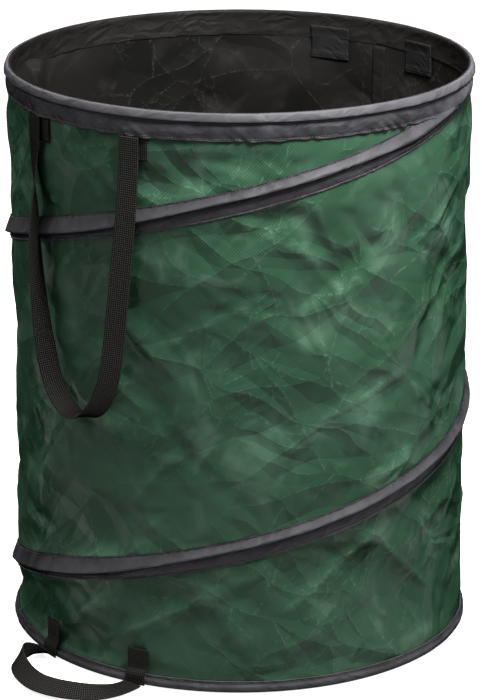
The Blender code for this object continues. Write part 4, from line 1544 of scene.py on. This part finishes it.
@dataclass
class Strap:
    """A length of webbing swept along its middle line."""

    width: float = 25.0 * MM
    thickness: float = 1.8 * MM

    def outline(self) -> np.ndarray:
        """The strap's section: flat faces, rounded selvedges, as positions across and through."""
        side = [(1.0, 0.0), (0.985, 0.62), (0.94, 0.93), (0.82, 1.0), (0.5, 0.94), (0.0, 0.9)]
        side = [(-x, y) for x, y in side] + side[-2::-1]
        upper = [(x * self.width / 2, y * self.thickness / 2) for x, y in side]
        return np.array(upper + [(x, -y) for x, y in upper[-2:0:-1]])

    def sweep(self, name: str, middles: np.ndarray, across: np.ndarray) -> Thing:
        """Makes the strap.

        Args:
            name: the piece's name.
            middles: points of the middle line.
            across: the direction across the strap at each point.

        Returns:
            The strap with UV in metres.
        """
        along = np.gradient(middles, axis=0)
        along /= np.linalg.norm(along, axis=1)[:, None]
        across = across - along * np.einsum("ij,ij->i", across, along)[:, None]
        across /= np.linalg.norm(across, axis=1)[:, None]
        out = np.cross(along, across)
        section = self.outline()
        points = (middles[:, None] + across[:, None] * section[None, :, 0, None]
                  + out[:, None] * section[None, :, 1, None])
        thing = grid_mesh(name, points, False, uv_grid(travelled(section), travelled(middles)))
        thing.data.materials.append(WEBBING.material())
        return thing

    def upright(self, node: str, radius: np.ndarray, azimuth: float, z: np.ndarray, body: str) -> Thing:
        """Makes an upright strap sewn on the wall.

        Args:
            node: the CAD node that it stands for.
            radius: its middle line's distance from the axis at each point.
            azimuth: where it is.
            z: the height of each point.
            body: what it rides on.

        Returns:
            The strap.
        """
        across = on_ring(1.0, np.full(len(z), azimuth + math.pi / 2), 0.0)
        thing = self.sweep(node + "_webbing", on_ring(radius, azimuth, z), across)
        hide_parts(node)
        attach(thing, body)
        return thing


@dataclass
class CarryHandle:
    """A carry handle: a strap that hangs from the rim band, with two sewn tails behind it.

    Attributes:
        side: where it hangs.
        strap: its webbing.
        pivot_radius: how far its hinge is from the bag's axis; not used.
        pivot_z: the hinge's height; not used.
        give: how far to each side of the hinge the strap would bend; not used.
    """

    side: Side
    strap: Strap = field(default_factory=Strap)
    pivot_radius: float = 0.27332
    pivot_z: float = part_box("front_carry_loop")[1].z
    give: float = 9 * MM

    def turned(self, points: np.ndarray) -> np.ndarray:
        """Carries points of a front handle to this handle's side."""
        return points if self.side is Side.FRONT else points * np.array([-1, -1, 1])

    def path(self) -> Spline:
        """The strap's middle line, as X, radius, height and the strap's facing in degrees."""
        reach = 0.2900 if self.side is Side.FRONT else 0.2975
        top, rest = 0.2795, reach - 0.0035
        return Spline([
            (-0.0850, top, SIZES.rim_edge, -18), (-0.0848, top + 0.0006, 0.640, -22),
            (-0.0828, top + 0.0034, 0.600, -40), (-0.0790, rest, 0.555, -66), (-0.0750, reach, 0.510, -82),
            (-0.0690, reach, 0.455, -94), (-0.0590, reach, 0.405, -114), (-0.0430, reach, 0.358, -126),
            (-0.0180, reach, 0.330, -130), (0.0080, reach, 0.3265, -133), (0.0300, reach, 0.344, -137),
            (0.0445, reach, 0.379, -142), (0.0520, reach, 0.425, -148), (0.0575, reach, 0.475, -154),
            (0.0620, rest + 0.001, 0.530, -158), (0.0652, rest - 0.0015, 0.580, -162),
            (0.0660, top + 0.0020, 0.622, -166), (0.0660, top + 0.0008, 0.645, -167),
            (0.0660, top + 0.0004, SIZES.rim_edge, -167),
        ])

    def build(self) -> list[Thing]:
        """Makes the hanging strap and the two tails."""
        side = self.side.value
        path = self.path()
        x, radius, z, facing = path.spread(int(path.length / (2.6 * MM)))
        middles = np.stack([x, -np.sqrt(radius ** 2 - x ** 2), z], axis=1)
        angle = np.radians(facing)
        across = np.stack([np.cos(angle), np.sin(angle), 0 * angle], axis=1)
        loop = self.strap.sweep(f"{side}_carry_strap", self.turned(middles), self.turned(across))
        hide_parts(f"{side}_carry_loop", f"{side}_left_strap_lead", f"{side}_right_strap_lead")
        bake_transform(loop)
        return [loop] + [self.tail(*seam) for seam in self.side.seams()]

    def tail(self, name: str, azimuth: float, sign: int) -> Thing:
        """A short sewn end of the strap behind it."""
        node = f"{name}_strap_tail"
        z = np.linspace(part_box(node)[0].z, SIZES.rim_edge + 7 * MM, 18)
        radius = SIZES.wall_radius + 1.15 * MM + 0.2 * MM * np.sin(z * 300)
        shift = (2.4 * MM if sign > 0 else 0.6 * MM) / SIZES.wall_radius
        tail = self.strap.upright(node, radius, azimuth + shift, z, "rim")
        flatten(tail)
        return tail


@dataclass
class TippingHandle:
    """The tipping handle at the foot: two sewn tabs and a loop that lies on the floor."""

    stitches: StitchTree
    strap: Strap = field(default_factory=Strap)
    azimuth: float = math.radians(14.1)
    give: float = 12 * MM

    def build(self) -> list[Thing]:
        """Makes the loop, its two tabs and their stitches."""
        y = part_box("tipping_handle_loop")[1].y
        path = Spline([
            (0.0685, y, 0.0030, 0, 4), (0.0690, y - 0.016, 0.0040, 0, 8), (0.0675, -0.3120, 0.0058, -24, 14),
            (0.0590, -0.3330, 0.0080, -52, 24), (0.0420, -0.3490, 0.0100, -72, 31),
            (0.0180, -0.3590, 0.0110, -84, 34), (-0.0080, -0.3605, 0.0112, -98, 35),
            (-0.0330, -0.3530, 0.0116, -112, 37), (-0.0560, -0.3400, 0.0122, -124, 42),
            (-0.0740, -0.3240, 0.0132, -142, 56), (-0.0800, -0.3090, 0.0136, -170, 74),
            (-0.0765, -0.2950, 0.0110, -196, 56), (-0.0700, y, 0.0040, -182, 8),
        ])
        x, y_at, z, heading, tilt = path.spread(int(path.length / (2.0 * MM)))
        heading, tilt = np.radians(heading), np.radians(tilt)
        level = np.cos(tilt)
        across = np.stack([np.cos(heading) * level, np.sin(heading) * level, -np.sin(tilt)], axis=1)
        lift = 0.4 * MM + self.strap.width / 2 * np.sin(tilt) + self.strap.thickness / 2 * np.cos(tilt)
        middles = np.stack([x, y_at, np.maximum(z, lift)], axis=1)
        loop = self.strap.sweep("tipping_handle_strap", middles, across)
        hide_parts("tipping_handle_loop")
        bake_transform(loop)
        return [loop] + self.tab("tipping_handle_left_tab", -self.azimuth) + self.tab(
            "tipping_handle_right_tab", self.azimuth)

    def tab(self, name: str, azimuth: float) -> list[Thing]:
        """One tab, sewn to the wall above the foot binding and bulging over it."""
        low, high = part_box(name)
        z = np.linspace(low.z + 0.4 * MM, high.z, 26)
        over = smooth((SIZES.foot_edge + 7 * MM - z) / (9 * MM))
        radius = SIZES.wall_radius + 1.2 * MM + over * (SIZES.roll_outside - SIZES.wall_radius + 0.3 * MM)
        tab = self.strap.upright(name, radius, azimuth, z, "base")
        half, top, foot = 9.5 * MM, high.z - 3 * MM, SIZES.foot_edge + 9 * MM
        corners = [(-half, top), (half, top), (half, foot), (-half, foot), (-half, top)]
        side, level = Spline(corners, cornered=True).spread(80)
        spots = on_ring(SIZES.wall_radius + 2.15 * MM, azimuth + side / SIZES.wall_radius, level)
        line = (spots, on_ring(1.0, azimuth + side * 0, 0.0), False)
        return [tab, self.stitches.sew(name + "_stitches", [line], "base", 7, BLACK_THREAD)]


class Hardware:
    """The hoops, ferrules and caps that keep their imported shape."""

    def build(self) -> list[Thing]:
        """Gives each its own metal or plastic."""
        for finish, names in ((STEEL, ("base_hoop", "base_hoop_ferrule", "rim_hoop", "rim_hoop_ferrule")),
                              (CAP, ("spring_top_cap", "spring_bottom_cap"))):
            for name in names:
                for slot in frame["nodes"][name].material_slots:
                    slot.material = finish.material()
        return []


# The studio


@dataclass
class Studio:
    """A white floor, soft lamps and the camera at the photograph's place, its angles in degrees."""

    azimuth: float = 40
    elevation: float = 17.70
    distance: float = 4.064
    aim_z: float = 0.35
    lens: float = 170.86
    shift: tuple[float, float] = (0.0022, -0.0178)
    surround: float = 0.24
    floor_reach: float = 9.0

    def aimed(self, name: str, data: bpy.types.ID, azimuth: float, elevation: float,
              distance: float) -> Thing:
        """Puts a camera or lamp at an azimuth, an elevation and a distance, aimed at the bag's middle."""
        a, e = math.radians(azimuth), math.radians(elevation)
        way = Vector((math.sin(a) * math.cos(e), -math.cos(a) * math.cos(e), math.sin(e)))
        thing = add_object(name, data)
        thing.location = Vector((0, 0, self.aim_z)) + way * distance
        thing.rotation_euler = (-way).to_track_quat("-Z", "Y").to_euler()
        return thing

    def camera(self) -> None:
        """Sets up the camera."""
        seen = bpy.data.cameras.new("camera")
        seen.lens, seen.sensor_width = self.lens, 36.0
        seen.shift_x, seen.shift_y = self.shift
        seen.clip_end = 60
        bpy.context.scene.camera = self.aimed("camera", seen, self.azimuth, self.elevation, self.distance)

    def lamp(self, name: str, azimuth: float, elevation: float, distance: float, size: float,
             power: float) -> None:
        """One soft square lamp."""
        light = bpy.data.lights.new(name, "AREA")
        light.shape, light.size, light.energy = "SQUARE", size, power
        self.aimed(name, light, azimuth, elevation, distance)

    def looking(self, nodes: Nodes) -> Socket:
        """1 for rays that look at the background, straight or by way of a reflection or glass."""
        path = nodes.add("ShaderNodeLightPath").outputs
        seen = nodes.step("MAXIMUM", path["Is Camera Ray"], path["Is Transmission Ray"])
        return nodes.step("MAXIMUM", seen, path["Is Glossy Ray"])

    def floor(self) -> None:
        """A wide floor that shows white and keeps the shadow."""
        far = self.floor_reach
        mesh = bpy.data.meshes.new("floor")
        mesh.from_pydata([(-far, -far, 0), (far, -far, 0), (far, far, 0), (-far, far, 0)], [], [(0, 1, 2, 3)])
        thing = add_object("floor", mesh)
        thing.location.z = -0.4 * MM
        paint = bpy.data.materials.new("white floor")
        paint.use_nodes = True
        paint.node_tree.nodes.clear()
        nodes = Nodes(paint.node_tree)
        plain, seen = [nodes.add("ShaderNodeBsdfDiffuse", {"Color": (tone, tone, tone, 1)})
                       for tone in (0.08, 0.8)]
        glow = nodes.add("ShaderNodeEmission", {"Color": (1, 1, 1, 1), "Strength": 0.84})
        both = nodes.add("ShaderNodeAddShader", {0: seen.outputs[0], 1: glow.outputs[0]})
        mixed = nodes.add("ShaderNodeMixShader", {
            0: self.looking(nodes), 1: plain.outputs[0], 2: both.outputs[0]})
        nodes.add("ShaderNodeOutputMaterial", {"Surface": mixed.outputs[0]})
        mesh.materials.append(paint)

    def world(self) -> None:
        """A soft surround that the camera and reflections see as white."""
        world = bpy.data.worlds.new("surround")
        world.use_nodes = True
        world.node_tree.nodes.clear()
        nodes = Nodes(world.node_tree)
        strength = nodes.ramp(self.looking(nodes), 0, 1, self.surround, 1.0)
        light = nodes.add("ShaderNodeBackground", {"Color": (1, 1, 1, 1), "Strength": strength})
        nodes.add("ShaderNodeOutputWorld", {"Surface": light.outputs[0]})
        bpy.context.scene.world = world

    def build(self) -> list[Thing]:
        """Sets up floor, light and camera."""
        bpy.context.scene.view_settings.view_transform = "Standard"
        self.floor()
        self.world()
        self.lamp("key", 70, 57, 1.4, 0.34, 47)
        self.lamp("left", -50, 42, 3.0, 1.0, 34)
        self.lamp("right", 130, 30, 3.0, 1.0, 30)
        self.lamp("back", 255, 58, 3.0, 1.0, 75)
        self.camera()
        return []


def main() -> None:
    """Builds every sub-assembly in order."""
    logging.basicConfig(level=logging.INFO, format="%(name)s: %(message)s")
    stitches = StitchTree()
    sheet = CrumpledSheet()
    lining = Lining(stitches, sheet)
    steps: list[tuple[str, Callable[[], list[Thing]]]] = [
        ("hardware", Hardware().build),
        ("wall", WallCloth(sheet).build),
        ("bottom", lining.bottom),
        ("seam", lining.seam),
        ("patches", lining.patches),
        ("casing", SpiralCasing(stitches).build),
        ("rim", RimBinding(stitches).build),
        ("foot", BaseBinding(stitches).build),
        ("front handle", CarryHandle(Side.FRONT).build),
        ("rear handle", CarryHandle(Side.REAR).build),
        ("tipping handle", TippingHandle(stitches).build),
        ("studio", Studio().build),
    ]
    for label, build in steps:
        for piece in build():
            LOG.info("%s: %s, %d faces", label, piece.name, len(piece.data.polygons))


if __name__ == "__main__":
    main()
